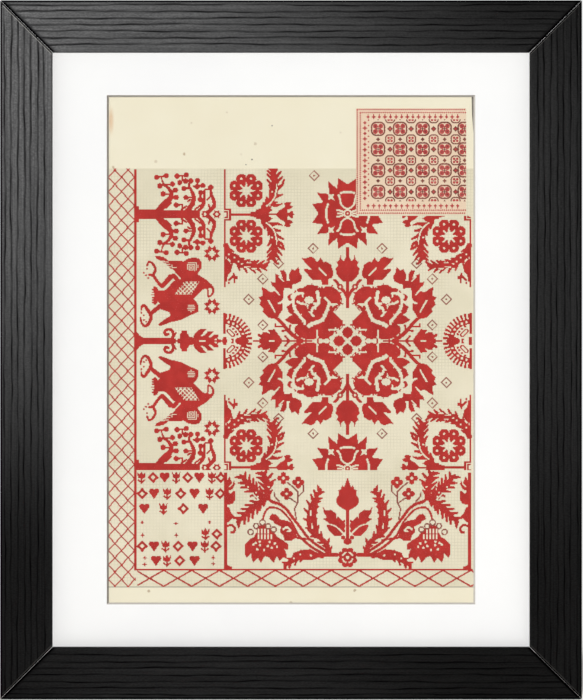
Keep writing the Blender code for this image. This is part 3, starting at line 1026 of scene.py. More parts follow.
    def frond(self, spine: Sequence[Point], lobes: int, length: float, width: float, lean: float = 50.0,
              fullness: float = 0.0) -> None:
        """Draws a toothed leaf: a spine with tapering lobes that lean towards its tip.

        Args:
            spine: Points from the base to the tip.
            lobes: How many lobes each side has.
            length: The longest lobe.
            width: A lobe's width at the spine.
            lean: Degrees between a lobe and the spine.
            fullness: The leaf blade's half width, as a share of a lobe's reach.
        """
        path = smooth_path(spine, 12)
        for i, place in enumerate(path[:-1]):
            blade = fullness * length * math.sin(math.pi * (0.16 + 0.72 * i / len(path)))
            if fullness:
                self.disc(place, blade)
        self.line(path, width * 1.2, width * 0.6)
        for i in range(2 * lobes):
            share = (i + 0.6) / (2 * lobes)
            at = int(share * (len(path) - 2))
            (ax, ay), (bx, by) = path[at], path[at + 1]
            heading = math.degrees(math.atan2(by - ay, bx - ax))
            reach = length * math.sin(math.pi * (0.18 + 0.62 * share))
            self.line([(ax, ay), polar((ax, ay), reach, heading + (lean if i % 2 else -lean))], width,
                width * 0.4)

    def mirrored(self, x: float | None = None, y: float | None = None) -> Chart:
        """Turns the chart over about an upright line, a level line or both.

        Args:
            x: The upright line's place.
            y: The level line's place.

        Returns:
            The turned copy.
        """
        made = self.blank()
        rows, columns = np.nonzero(self.cells)
        values = self.cells[rows, columns]
        columns = columns if x is None else round(2 * x * self.parts) - 1 - columns
        rows = rows if y is None else round(2 * y * self.parts) - 1 - rows
        height, width = made.cells.shape
        kept = (columns >= 0) & (columns < width) & (rows >= 0) & (rows < height)
        made.cells[rows[kept], columns[kept]] = values[kept]
        return made

    def lay(self, other: Chart) -> None:
        """Copies the other chart's coloured cells over this one's."""
        drawn = other.cells != Tone.BLANK.value
        self.cells[drawn] = other.cells[drawn]


class CoverletChart:
    """The woven pattern, in stitches from the cloth's lower left corner."""

    width = 230.0
    height = 261.0
    side_border = 17.5
    field_left = 73.5
    bottom_border = 11.2
    middle_x = 150.0
    middle_y = 153.5
    field_low = 72.8
    inset_low: Point = (155.4, 231.4)

    def __init__(self, parts: int = 2) -> None:
        """Starts a blank pattern with some cells to a stitch."""
        self.pen = Chart(self.width, self.height, parts)

    def drawn(self, *motifs: Callable[[], None]) -> Chart:
        """Draws motifs on a chart of their own.

        Args:
            *motifs: The methods that draw them.

        Returns:
            The chart.
        """
        kept, self.pen = self.pen, self.pen.blank()
        for motif in motifs:
            motif()
        made, self.pen = self.pen, kept
        return made

    def draw(self) -> np.ndarray:
        """Draws the whole pattern.

        Returns:
            Its cells, with the lowest row first.
        """
        cloth = self.pen
        quarter = self.drawn(self.medallion, self.corner, self.sprays, self.burst, self.half_sun)
        quarter.lay(quarter.mirrored(y=self.middle_y))
        left = self.drawn(self.left_panel)
        for part in (quarter, left):
            part.box((0, 0), (self.width, self.field_low), Tone.BLANK)
            cloth.lay(part)
        cloth.lay(quarter.mirrored(x=self.middle_x))
        panel = self.drawn(self.bottom_panel)
        cloth.lay(panel)
        cloth.lay(panel.mirrored(x=self.middle_x))
        self.centre_flower()
        self.bottom_flower()
        self.cartouche()
        cloth.box(self.inset_low, (self.width, self.height), Tone.BLANK)
        self.borders()
        return cloth.cells

    def left_panel(self) -> None:
        """The trees, eagles, stars and plant beside the field."""
        tree = self.drawn(self.tree)
        upper = self.drawn(self.eagle, self.plant, lambda: self.star((65.5, 175.0)),
            lambda: self.star((65.5, 208.0)))
        upper.lay(tree)
        upper.lay(tree.mirrored(y=232.5))
        self.pen.lay(upper)
        self.pen.lay(upper.mirrored(y=self.middle_y))

    def borders(self) -> None:
        """The lattice at the side, the crossing zigzags below and the lines that bound them."""
        pen = self.pen

        def lattice(x: np.ndarray, y: np.ndarray) -> np.ndarray:
            """True on the two sets of slanting lines."""
            slants = [(x - 5.0) / 8.2 + way * (y - 0.5) / 8.95 for way in (1, -1)]
            return np.any([abs(slant - np.round(slant)) < 0.06 for slant in slants], axis=0)
        pen.fill((0.8, 0), (self.side_border, self.height - 0.5), lattice)

        def zigzags(x: np.ndarray, y: np.ndarray) -> np.ndarray:
            """True on two triangle waves that cross."""
            wave = abs((x - 105.0) / 17.4 % 2 - 1)
            return (abs(y - 0.6 - 10 * wave) < 0.55) | (abs(y - 10.6 + 10 * wave) < 0.55)
        pen.fill((19.0, 0), (228.0, self.bottom_border), zigzags)
        pen.box((17.0, self.bottom_border - 0.8), (18.4, self.height - 0.5))
        pen.box((17.0, self.bottom_border - 0.8), (228.0, self.bottom_border + 0.3))

    def star(self, centre: Point) -> None:
        """An eight-pointed star with a star-shaped middle.

        Args:
            centre: Its middle.
        """
        pen = self.pen
        pen.star(centre, 5.5, 3.4, 8, 22.5)
        pen.star(centre, 2.9, 1.5, 4, 0, Tone.BLANK)
        pen.star(centre, 2.0, 1.5, 4, 45, Tone.BLANK)

    def tree(self) -> None:
        """The upper half of a berry tree that lies on its side."""
        pen = self.pen
        pen.shape([(17, 232.5), (17, 237.6), (20, 237.6), (20, 235.6), (30.5, 235.6), (34, 238),
                     (35.5, 234.8), (58, 234.8), (58, 232.5)])
        pen.curve([(32, 234), (36, 239), (39.6, 242.5), (40.2, 245.5), (38.6, 248.5), (35.6, 251),
            (33.8, 255.5)], 4.6, 0.7)
        pen.curve([(49.5, 233.5), (52.6, 238), (54.2, 242.5), (53, 246.5), (51.2, 250), (51.6, 253)], 3.6,
            1.0)
        pen.curve([(57, 234.5), (60.4, 238.5), (60.8, 243), (60.8, 247.5)], 2.0, 1.2)
        pen.curve([(63, 233.6), (66.8, 237.5), (66.4, 241.5), (65, 245), (65, 249)], 2.8, 1.5)
        twigs = (((31, 255.5), (37.2, 256.5)), ((33, 250.2), (41, 251.4)), ((35, 245.2), (40, 245)),
            ((40, 247), (42.6, 247.5)), ((40, 243), (43.2, 243)), ((43, 238.2), (47, 238.4)),
            ((47, 238.4), (46.8, 235.6)), ((49, 243), (53, 243)), ((48, 248.6), (51, 248.8)),
            ((43.6, 256.3), (49.4, 256.8)), ((47.2, 256), (46.8, 253.4)), ((58.3, 246), (58.3, 241.6)),
            ((58.3, 241.6), (60.5, 240.6)), ((56.5, 253.3), (56.5, 250)), ((54, 249.8), (59.8, 250.4)),
            ((61.6, 248), (65, 248.4)), ((36.6, 236.4), (40, 239.6)), ((46.8, 235.4), (49.6, 237.6)),
            ((51.6, 236), (54.4, 238.6)), ((50.4, 240.4), (52, 241.6)), ((55, 235.6), (58.6, 238.2)),
            ((59.6, 236.4), (59.6, 240.4)), ((64, 235.4), (63.6, 238.6)), ((62.4, 241.6), (64.6, 243.4)))
        for twig in twigs:
            pen.line(twig, 1.15)
        berries = ((31, 255.4), (37, 256.5), (33, 250.2), (40.9, 251.3), (35, 245.2), (42.7, 247.5),
                   (43.2, 243), (43.1, 238.2), (49.3, 242.9), (48, 248.5), (45.4, 252.2), (49, 253.2),
                   (43.7, 256.3), (49.4, 256.9), (52.2, 253.3), (58.4, 246), (58.3, 241.7), (56.5, 253.4),
                   (56.2, 249.8), (59.8, 250.4), (64.8, 249.2))
        pen.discs(berries, 1.65)
        for centre in ((61.2, 232.5), (68.6, 232.5)):
            pen.star(centre, 2.7, 1.9, 6, 0)
            pen.disc(centre, 0.9, Tone.BLANK)

    def eagle(self) -> None:
        """An eagle with spread wings that holds a curling spray in each foot."""
        pen = self.pen
        pen.shape([(30, 206.4), (34.8, 206.2), (38.3, 203.6), (48, 203.2), (50.5, 204.8), (54.5, 205.6),
            (57.5, 204.8), (59.2, 202.4), (59, 199), (57.4, 196.6), (56.6, 195.2), (58.5, 193.8),
            (61.5, 192), (64.6, 189), (66.4, 187), (62.4, 185.9), (60, 185.7), (57, 182.7), (54, 179.6),
            (56, 177.8), (57, 175.6), (56.8, 171.6), (51, 169), (46, 166.6), (40, 165.2), (33.2, 162.8),
            (31.8, 163.6), (35, 166.4), (39.8, 169.4), (38.6, 171.6), (33, 173.4), (31, 173.2), (33, 177),
            (31.4, 178.4), (31.2, 184.9), (35, 184.8), (38, 186.4), (41, 190.6), (45.5, 192.6), (41, 197.6),
            (38, 200.3), (35, 202.8), (31, 204.8)])
        pen.curve([(64.6, 188.2), (66.2, 185.5), (65.6, 182.6), (63.4, 181)], 1.8, 1.0)
        pen.line([(62.7, 186), (63.1, 181.4)], 1.0)
        pen.line([(43, 193.6), (39.6, 193.2), (34.6, 187.6)], 4.6, 2.6)
        pen.line([(34.4, 187.4), (31.4, 190.6), (28.8, 194.6)], 2.1, 2.0)
        pen.line([(28.8, 194.6), (26.4, 194.6)], 2.0, 1.4)
        pen.curve([(28.8, 194.6), (30.3, 198), (28.7, 201.4), (26.3, 202.9), (25.1, 200.6)], 1.9, 1.2)
        pen.line([(33, 175.2), (27.2, 170.4)], 3.0, 2.4)
        pen.curve([(27, 171), (27.4, 167.6), (25.8, 164), (23.4, 162.9), (21.6, 165), (21, 168.2)], 2.5,
            1.0)
        pen.curve([(27, 170.6), (25.2, 173.2), (23.6, 175.4), (21.8, 175.2), (21.6, 173)], 2.4, 1.2)
        pen.discs(((25.8, 192.7), (24.3, 194.4), (23, 196.2), (24.9, 198.6), (21.4, 171.2), (22.9, 169.4),
            (23.2, 166.6), (24.6, 165.6)), 0.6)
        pen.shape([(29, 187.6), (31.6, 187), (32, 184.6), (34, 183), (34, 180), (31.6, 178.4), (30.6, 176),
            (29, 176.4), (29.4, 182)])
        for row in range(6):
            pen.line([(28.2, 177.6 + 1.55 * row), (31, 177.6 + 1.55 * row)], 0.9)
        pen.line([(40.6, 198.2), (42.6, 195.6), (45.6, 192.6)], 0.9, 1.0, Tone.BLANK)
        for step in range(3):
            start = (33.2 + 2.3 * step, 203.4 - 1.7 * step)
            pen.line([start, (start[0] + 5.5, start[1] - 0.9)], 0.7, 0.4, Tone.BLANK)
        pen.curve([(33.4, 185.6), (36.4, 186.6), (39.2, 189.6), (41.4, 191.6)], 1.2, 1.4, Tone.BLANK)

        def dotted(x: np.ndarray, y: np.ndarray) -> np.ndarray:
            """True on a small check."""
            return ((x + y) % 2.1 < 1.05) ^ ((x - y) % 2.1 < 1.05)
        def crossed(x: np.ndarray, y: np.ndarray) -> np.ndarray:
            """Tests cells against slanting lines that cross within a parallelogram.

            Args:
                x: The cells' places across.
                y: The cells' places up.

            Returns:
                True where they are blank.
            """
            rise = y - 182.6
            within = (rise > 0) & (y < 190.3) & (x - 42 > rise * 0.78) & (x - 52.8 < rise * 0.6)
            return within & (((x + y) % 2.6 < 0.9) | ((x - y) % 2.6 < 0.9))
        pen.fill((49.5, 196.5), (57, 203), lambda x, y: (np.hypot((x - 53.2) / 3.8, (y - 200) / 3.1) < 1)
            & dotted(x, y), Tone.BLANK)
        pen.fill((42, 182), (58, 191), crossed, Tone.BLANK)
        pen.fill((50, 171), (56, 177), lambda x, y: (np.hypot(x - 52.7, y - 174.2) < 2.5) & dotted(x, y),
            Tone.BLANK)

    def plant(self) -> None:
        """The upper half of a plant that lies along the panel's middle line."""
        pen = self.pen
        mid = self.middle_y
        pen.shape([(17, mid), (17, 160), (18.6, 159.4), (20.4, 157), (22.4, 155.7), (40, 155.3),
            (42, 154.8), (45.3, 154.9), (45.3, 157), (46.4, 159), (46.2, 160.2), (50.2, 160.2), (50, 158.2),
            (51.6, 156.2), (54, 155.6), (54.4, 157.6), (56.4, 159.8), (58.4, 160.9), (61.8, 160.8),
            (58.6, 156.8), (58.9, 156.2), (61.4, 157.6), (63, 159.6), (66.9, 159.5), (63.4, 156),
            (64.4, 155.6), (67, 157.5), (69.9, 157.2), (68.8, 155.2), (70.4, 154.4), (71.6, 154),
            (72.6, 155.6), (74, 155.2), (75.4, mid)])
        pen.curve([(40.4, 154.6), (41.5, 157.6), (40.2, 160.2), (37.8, 160.7), (36, 159.2), (36.6, 157.4),
            (38.4, 157.8)], 2.0, 1.7)
        pen.box((57.4, mid), (61.6, mid + 0.7), Tone.BLANK)
        pen.box((43.2, 154.1), (44.2, 155.2), Tone.BLANK)
        for step in range(3):
            pen.disc((42.2 + 0.4 * step, 156.4 + 1.1 * step), 0.5)
        pen.disc((67.8, 154.4), 0.6, Tone.BLANK)

    def corner(self) -> None:
        """The upper left corner's line, bracket, stem and two rosettes."""
        pen = self.pen
        left = self.field_left
        pen.box((left - 0.6, 236), (left + 0.6, self.height - 0.5))
        pen.line([(left, 235.6), (76.8, 235.6), (76.8, 228.8), (left, 228.8)], 1.1)
        pen.line([(left, 234.1), (75.1, 234.1), (75.1, 230.3), (left, 230.3)], 0.9)
        pen.box((left - 0.6, 187), (left + 0.6, 228.8))
        pen.line([(77, 232.4), (90, 232.4)], 1.4)
        for height in (247.2, 218.8):
            self.rosette((86.8, height))
        for centre in ((129.2, 256.6), (128.6, 211.2), (107, 201.8), (97.2, 192.2), (88.4, 179.4),
                (97.2, 163.4)):
            self.lozenge(centre)

    def rosette(self, centre: Point) -> None:
        """A flower of eight lobes with a star cut in its middle.

        Args:
            centre: Its middle.
        """
        pen = self.pen
        pen.disc(centre, 7.6)
        for i in range(8):
            pen.disc(polar(centre, 7.3, 22.5 + 45 * i), 3.7)
        for i in range(8):
            ray, lobe = 45 * i, 45 * i + 22.5
            pen.line([polar(centre, 1, ray), polar(centre, 5.2, ray)], 1.9, 0.7, Tone.BLANK)
            pen.line([polar(centre, 8.4, ray), polar(centre, 11.4, ray)], 0.5, 1.2 if i % 2 else 2.0,
                Tone.BLANK)
            pen.disc(polar(centre, 8.0, lobe), 0.7, Tone.BLANK)
        pen.disc(centre, 2.7, Tone.BLANK)
        for i in range(8):
            pen.disc(polar(centre, 3.9, 45 * i + 22.5), 0.95)

    def lozenge(self, centre: Point) -> None:
        """A small open lozenge with a dot.

        Args:
            centre: Its middle.
        """
        pen = self.pen
        cx, cy = centre
        pen.fill((cx - 4, cy - 4), (cx + 4, cy + 4),
                   lambda x, y: abs(abs(x - cx) + abs(y - cy) - 3.1) <= 0.42, Tone.BROWN)
        pen.disc(centre, 0.62, Tone.BROWN)

    def sprays(self) -> None:
        """The leaves around the corner: three at the stem's end and one below the rosettes."""
        pen = self.pen
        pen.shape([(89.6, 231), (89.6, 233.8), (93, 234.3), (93.2, 235.7), (97.4, 235.9), (97, 240),
            (98.6, 240), (100.4, 237.4), (103.4, 235), (101, 233.6), (101, 231.2), (103.4, 229.8),
            (100.4, 227.6), (98.6, 225), (97, 225), (97.4, 229.2), (93.2, 229.3), (93, 230.6)])
        pen.line([(100, 232.3), (106, 232.3)], 1.1)
        half = [(105.2, 232.3), (107.2, 234.8), (109.6, 236.2), (111.3, 237.4), (110.4, 239.4), (112, 240),
            (114.9, 239.8), (114, 238.2), (116, 237.4), (115, 236), (112.6, 235.4), (112.3, 233.6),
            (113.6, 233.2), (114.4, 234.4), (116.2, 234.4), (115.8, 233), (117.2, 232.3)]
        pen.shape(half)
        pen.shape([(x, 464.6 - y) for x, y in half])
        for flip in (1, -1):
            def at(x: float, y: float) -> Point:
                """A point above the stem's line, or its mirror image below."""
                return (x, 232.3 + flip * (y - 232.3))
            spine = [at(97.5, 236.8), at(101.4, 240.4), at(104.2, 245), at(104.6, 251), at(104.4, 256),
                at(103.6, 260.2)]
            pen.frond(spine, 7, 6.8, 2.9, 44, 0.3)
            pen.line([at(106, 249), at(109.2, 250.6), at(110.4, 254)], 2.2, 1.2)
            pen.curve([at(103, 238.6), at(106, 238), at(109.2, 239)], 2.6, 0.8)
            pen.curve([at(99.6, 237.6), at(102.4, 240), at(104.8, 243.6), at(105.4, 247.6)], 0.9, 1.0,
                Tone.BLANK)
            pen.line([at(105.8, 248.4), at(105.8, 251)], 1.0, 0.7, Tone.BLANK)
            pen.disc(at(102.8, 246.5), 0.6, Tone.BLANK)
        spine = [(74.2, 213), (76.6, 208), (81, 203.6), (87, 200.8), (93, 200.2), (99.6, 200.4)]
        pen.frond(spine, 8, 6.2, 2.8, 40, 0.3)
        pen.shape([(74, 214), (78, 208.5), (83, 205), (86, 203), (84, 198.6), (77.4, 203.6), (74, 206)])
        for start, end in (((85.8, 199.6), (89, 199.6)), ((90.6, 198.6), (93.4, 198.6)),
                ((87.6, 202.2), (89.6, 202.2))):
            pen.line([start, end], 0.8, 0.6, Tone.BLANK)
        pen.discs(((76, 207.6), (79.4, 205.6), (82.2, 203), (84.2, 201.6)), 0.6, Tone.BLANK)
        pen.shape([(73, 205), (76, 203.4), (78, 200.6), (77.6, 197), (75.4, 194.4), (74.8, 190.4),
            (73, 190)])
        pen.line([(76.4, 191.6), (79.4, 194.4)], 1.6, 1.4)
        pen.line([(79, 195.4), (79.6, 190)], 1.2, 1.0)
        pen.disc((80.6, 193), 1.1)
        pen.disc((76, 189.8), 0.7)

    def burst(self) -> None:
        """The left half of the spiky flower over the medallion."""
        pen = self.pen
        cx, cy = self.middle_x, 233.0
        points = []
        tips = ((75, 22.4), (105, 22.8), (121, 23.4), (146, 23.2), (165, 22.8), (195, 22.8), (214, 23.2),
            (239, 23.4), (255, 22.8))
        for (angle, radius), (after, _) in zip(tips, (*tips[1:], (285, 22.4))):
            gap = after - angle
            points.append(polar((cx, cy), radius, angle))
            points.append(polar((cx, cy), 16.6 if gap < 27 else 18.2, angle + gap / 2))
        pen.shape([*points, (cx, cy - 18), (cx + 2, cy - 18), (cx + 2, cy + 18), (cx, cy + 18)])
        pen.ring((cx, cy), 13.4, 1.3, Tone.BLANK, ((155, 205), (72, 108), (252, 288)))
        for angle in (135, 225):
            pen.star(polar((cx, cy), 14.6, angle), 3.0, 1.3, 4, angle, Tone.BLANK)
        for angle in (62, 118, 242, 298):
            bend = angle + (8 if angle in (118, 298) else -8)
            root = angle + 45 if angle in (62, 242) else angle - 45
            places = ((2.4, root), (6, bend), (10, angle), (12.6, angle - 2))
            path = [polar((cx, cy), reach, turn) for reach, turn in places]
            pen.curve(path, 0.9, 1.5, Tone.BLANK)
        for up in (-1, 1):
            pen.curve([(cx - 2, cy + up * 0.8), (cx - 4, cy + up * 1.5), (cx - 6.5, cy + up * 2.2)], 0.9,
                1.1, Tone.BLANK)
            pen.line([(cx - 6, cy), (cx - 3.4, cy)], 0.9, 0.9, Tone.BLANK)
        pen.ring((cx, cy), 2.1, 0.9, Tone.BLANK)
        pen.disc((cx, cy), 0.7, Tone.BLANK)

    def half_sun(self) -> None:
        """The upper right quarter of the sun that the field's edge cuts through."""
        pen = self.pen
        cx, cy = self.field_left, self.middle_y
        pen.box((cx - 0.8, 158), (cx + 0.6, 171))

        def rays(x: np.ndarray, y: np.ndarray) -> np.ndarray:
            """Tests cells against the sun's band and the short rays outside it.

            Args:
                x: The cells' places across.
                y: The cells' places up.

            Returns:
                True where they are red.
            """
            radius, angle = np.hypot(x - cx, y - cy), np.degrees(np.arctan2(y - cy, x - cx))
            band = (radius > 10.4) & (radius < 13.6)
            ray = (radius >= 13.6) & (radius < 17.2) & (angle % 9 > 4)
            return (band | ray) & (x > cx) & (y > cy)
        pen.fill((cx, cy), (cx + 18, cy + 18), rays)
        pen.shape([(79.6, cy), (81, 155.4), (84, 156), (86.8, 155.6), (88.6, cy)])
        for angle in (22, 36, 50, 64, 78):
            pen.disc(polar((cx, cy), 12, angle), 0.75, Tone.BLANK)
        pen.line([(76, 159.6), (78.4, 157.4)], 3.0, 3.0)
        pen.line([(76, 159.6), (78.4, 157.4)], 1.4, 1.4, Tone.BLANK)
        pen.discs(((76.8, 162.6), (78.6, 161), (80.4, 159.2), (81.4, 157.6), (78.4, 154.4)), 0.75)
        pen.box((cx - 1, cy), (cx + 1, cy + 2.4))

    def medallion(self) -> None:
        """The upper left quarter of the medallion: a rose with its leaves and buds."""
        pen = self.pen
        mid = self.middle_y
        pen.shape([(124.6, 188.2), (129, 188.3), (131, 187.4), (132.6, 186), (134, 186), (137, 187.4),
            (141, 187), (144, 184.6), (145.9, 181), (145.6, 177), (143.2, 174.4), (141, 171.8),
            (143.6, 169.2), (146.2, 166.8), (146.7, 163.6), (145, 161.6), (141.5, 160.4), (141.6, 159.4),
            (141, 157.4), (138, 155.5), (134, 154.8), (131.4, 155.4), (131, 158), (130.4, 155.4),
            (127, 154.8), (122.6, 155), (119.2, 157.4), (117, 160), (117.4, 162.6), (119.6, 164.2),
            (115, 164.2), (112.6, 165.4), (111, 166.8), (113.4, 168.6), (115.6, 169.8), (113.4, 171.2),
            (112, 174.6), (114.4, 176.8), (115.4, 178), (113, 179), (112.4, 181.2), (114.4, 182.8),
            (116.4, 183.2), (117.2, 184.8), (119.2, 186.2), (122.2, 186.6)])
        pen.disc((126, 179), 2.9, Tone.BLANK, 0.8)
        edge = ((124.6, 188.4), (131, 187.4), (134, 186), (138, 187.4), (144, 184.6), (146, 180),
            (145.4, 176.4), (142, 172))
        pen.toothed(edge, 0.5, 0.5, 1.0, 2.6)
        pen.toothed(((146.6, 166.4), (146.6, 162), (141.6, 159), (137, 155.2), (131.4, 155.2), (124, 154.8),
            (118, 158.4), (117.2, 162)), 0.5, 0.5, 1.0, 2.7)
        for path, width, end in ((((116.2, 179), (116.4, 175.4), (118, 172), (120.6, 168.6), (123, 166),
                (123.3, 164.2)), 1.3, 1.1), (((116, 181), (118, 182.8), (122.6, 183.2)), 2.2, 0.7),
                (((118.8, 178), (121, 176.8), (124, 176.4)), 1.1, 0.9),
                (((131.2, 183.8), (131.6, 181), (131.8, 177), (129.8, 175), (128, 173.2), (127.5, 170.6),
                (129, 169)), 1.5, 0.9), (((136, 180.2), (138, 178.2), (138.6, 176.4), (143.2, 176.4)), 1.1,
                0.8), (((138.4, 176.6), (137, 172.4), (135.4, 168.4), (132.4, 165.6), (128, 164.3),
                (126, 163)), 1.2, 1.7), (((131, 160), (131, 155.6)), 0.6, 0.9),
                (((138.6, 160.4), (144, 160.5)), 0.9, 0.6), (((129, 176.8), (132.6, 177.2)), 1.0, 0.8),
                (((125.2, 176), (125.2, 174)), 0.8, 0.5)):
            pen.toothed(path, 1.5 * width, 1.5 * end, 0.35, 3.4, Tone.BLANK)
        pen.shape([(121, 205.6), (123.6, 204.8), (127, 206.2), (129.4, 205), (131, 202.6), (133.2, 205.4),
            (135, 202.6), (136.6, 203.2), (138, 202.2), (140, 201), (140.2, 199), (141.2, 196.6),
            (140.6, 193), (138, 192), (137.8, 188.6), (134, 188.6), (133.6, 191.6), (128.4, 191.5),
            (125.4, 194.6), (122.4, 198.2), (125, 198.4), (128.4, 197.6), (126.4, 199.4), (124, 201.6)])
        pen.line([(132.4, 198.8), (136.4, 194.6)], 1.1, 1.0, Tone.BLANK)
        pen.shape([(150.6, 206.6), (149.4, 206.4), (147.6, 203.4), (146.4, 204), (145.6, 207.8), (145, 204),
            (143.2, 202.8), (144, 200.6), (142.6, 198.6), (143, 195.6), (145, 192.6), (147.4, 190.6),
            (150.6, 190)])
        pen.box((149.2, 190), (150, 212.2))
        pen.box((149.3, 192.6), (150, 200.4), Tone.BLANK)
        pen.box((149.2, 174), (150, 190))
        pen.curve([(142, 191.4), (144, 189.2), (146.4, 186), (148.4, 183.4), (149.6, 181)], 1.7, 2.2)
        pen.disc((145.4, 187.2), 1.9)
        pen.disc((145.4, 187.2), 0.7, Tone.BLANK)
        pen.shape([(102, 190.4), (105, 190), (105, 195.4), (107.4, 194.4), (109.6, 192.4), (108, 197.4),
            (110.4, 197.8), (112.2, 194.6), (112.2, 191), (113.8, 191), (113.6, 195), (115.2, 198.6),
            (117, 197.4), (119.6, 199.6), (120.2, 196), (121.6, 194), (121, 190.8), (118, 189.2),
            (115.6, 188.6), (115.4, 186.2), (110.4, 186.4), (109.8, 181), (109.4, 172.6), (107.8, 170.6),
            (106.6, 168.2), (104.4, 167.6), (101, 167.8), (99, 170), (97, 171.6), (97.6, 173.6), (95, 176),
            (96, 178.6), (94.4, 180.8), (97, 181.6), (96.6, 187.2), (99.2, 185.8), (102, 183.8),
            (104.6, 184.6)])
        pen.line([(103.6, 186.8), (107.4, 182.4)], 1.2, 0.8, Tone.BLANK)
        pen.line([(107.2, 193.8), (110.2, 190.6)], 0.9, 0.6, Tone.BLANK)
        pen.line([(100.8, 178.6), (104.8, 171.6)], 1.2, 0.9, Tone.BLANK)
        pen.line([(107.4, 177), (110.6, 178.6)], 1.4, 1.6, Tone.BLANK)
        pen.curve([(104.6, 168.6), (109, 165), (112, 161), (115.6, 157.4), (119, 155), (121.4, mid)], 2.0,
            2.6)
        for twig in (((105, 163.8), (105.2, 162.6), (111, 162.4)), ((109.2, 159.8), (113.6, 160),
                (114.2, 163.2)), ((111.2, 156.6), (113.6, mid)), ((115.6, 157), (119, 155.4),
                (120.6, 156.4))):
            pen.line(twig, 1.2, 1.3)
        pen.box((108, mid - 0.1), (128, mid + 0.6))
        pen.box((91, mid - 0.1), (95, mid + 0.7))
        pen.shape([(95, mid), (94.8, 154.8), (96.4, 155.4), (94, 156.4), (93.8, 158.2), (96.6, 157.4),
            (97, 159.2), (99.4, 159.2), (102, 157.8), (100.2, 160.4), (104.6, 160.9), (105.4, 159.4),
            (107.2, 157.2), (108.8, 154.8), (108.8, mid)])
        pen.box((101, mid), (104.6, mid + 0.6), Tone.BLANK)

    def centre_flower(self) -> None:
        """The four-lobed flower in the medallion's middle."""
        pen = self.pen
        cx, cy = self.middle_x, self.middle_y
        for step in range(4):
            angle = math.radians(90 * step)
            ux, uy = math.cos(angle), math.sin(angle)
            pen.disc((cx + 5.4 * ux, cy + 5.4 * uy), 3.3)
            pen.shape([(cx + 9.2 * ux, cy + 9.2 * uy), (cx + 6.6 * ux - 3 * uy, cy + 6.6 * uy + 3 * ux),
                         (cx + ux * 1.2, cy + uy * 1.2), (cx + 6.6 * ux + 3 * uy, cy + 6.6 * uy - 3 * ux)])
        pen.line([(cx - 2.4, cy - 2.4), (cx + 2.4, cy + 2.4)], 0.7, 0.7, Tone.BLANK)
        pen.line([(cx - 2.4, cy + 2.4), (cx + 2.4, cy - 2.4)], 0.7, 0.7, Tone.BLANK)

    def bottom_panel(self) -> None:
        """The left half of the panel below the field."""
        pen = self.pen
        left = self.field_left
        pen.box((left - 0.4, self.bottom_border), (left + 1.5, 71.6))
        pen.shape([(150.6, 68), (149.6, 67.8), (149, 65.8), (148, 62.4), (146.4, 63.6), (146, 61),
            (144.2, 60.4), (144.6, 57.6), (143.2, 55.4), (143, 53), (144.2, 51), (147, 49), (150.6, 47)])
        pen.box((149.3, 49.8), (150, 56), Tone.BLANK)
        pen.box((149.2, 27), (150, 48))
        pen.shape([(134.4, 50.8), (136, 48), (139.6, 48.3), (143, 46), (144.6, 43.6), (147, 41.4),
            (148.6, 42.4), (148.2, 40), (148.8, 38.2), (148, 36.2), (148.8, 34.8), (147.4, 33.6), (146, 32),
            (141.6, 32), (138.6, 35), (136.6, 38.6), (139, 39.4), (137.6, 40.6), (134.6, 42.6),
            (137.2, 43.4), (135.4, 46)])
        pen.curve([(139, 39.2), (142.6, 38), (146.8, 34)], 0.7, 1.1, Tone.BLANK)
        pen.line([(143.6, 46.4), (143.4, 43.2)], 0.9, 0.5, Tone.BLANK)
        pen.disc((147.3, 31), 1.3)
        pen.disc((149.4, 28.6), 1.9)
        pen.frond([(138.4, 22), (136.6, 27.4), (131.6, 32), (128, 38.5), (127, 45), (128.2, 51.6),
            (130.4, 56), (133, 61.2)], 10, 5.6, 2.7, 48, 0.28)
        pen.shape([(134, 29), (130, 30.6), (125, 35), (124.4, 43), (125.6, 50), (128, 55), (131.4, 52),
            (130.6, 44), (131, 37)])
        for start, end in (((127, 44.6), (127, 48)), ((128, 37), (127.8, 39.6))):
            pen.line([start, end], 0.8, 0.7, Tone.BLANK)
        pen.shape([(144, 19), (144, 21.4), (136, 21.8), (131, 20.6), (127, 18.8)])
        pen.curve([(97.2, 42.6), (98.7, 47), (101.9, 49.8), (107.6, 48.6), (111.6, 45), (115.3, 40.4),
            (119, 33), (121.6, 30.4)], 1.2, 1.4)
        pen.curve([(137, 19.8), (128, 24.8), (121.6, 30), (118.4, 31)], 1.8, 1.4)
        pen.curve([(140, 20.6), (132, 25.6), (125.6, 30.6), (120.2, 37.8), (115.6, 43.6), (112.4, 48),
            (108, 51.6), (102.6, 53.6), (99.6, 57)], 1.7, 2.0)
        pen.line([(122, 30.4), (128.6, 29.6)], 1.2, 1.0)
        for stem in ([(118, 42.4), (117, 49), (119, 53), (118.9, 59.6), (115.4, 63), (112.6, 65.2)],
                [(119, 56.4), (122.4, 59.6), (122.6, 63.6)], [(118.6, 52.4), (114, 55.6)],
                [(107.4, 53.6), (104.6, 56.6), (104.2, 59)]):
            pen.line(stem, 0.9, tone=Tone.BROWN)
        for centre in ((110, 68), (119.2, 65.4), (112, 58.2)):
            for dx, dy in ((2.1, 0), (-2.1, 0), (0, 2.1), (0, -2.1)):
                pen.disc((centre[0] + dx, centre[1] + dy), 1.75)
            pen.disc(centre, 1.8)
            pen.disc(centre, 0.85, Tone.BLANK)
        pen.frond([(100.4, 57), (99.6, 62), (99.4, 66.4), (96.6, 71.6)], 5, 6.4, 2.9, 52, 0.32)
        pen.frond([(99.6, 56), (94, 59), (89, 63.4), (83.2, 69.8)], 6, 6.4, 2.9, 48, 0.3)
        pen.frond([(100, 56), (94.6, 52.4), (88.4, 47), (81.4, 40.6)], 7, 6.4, 2.9, 46, 0.3)
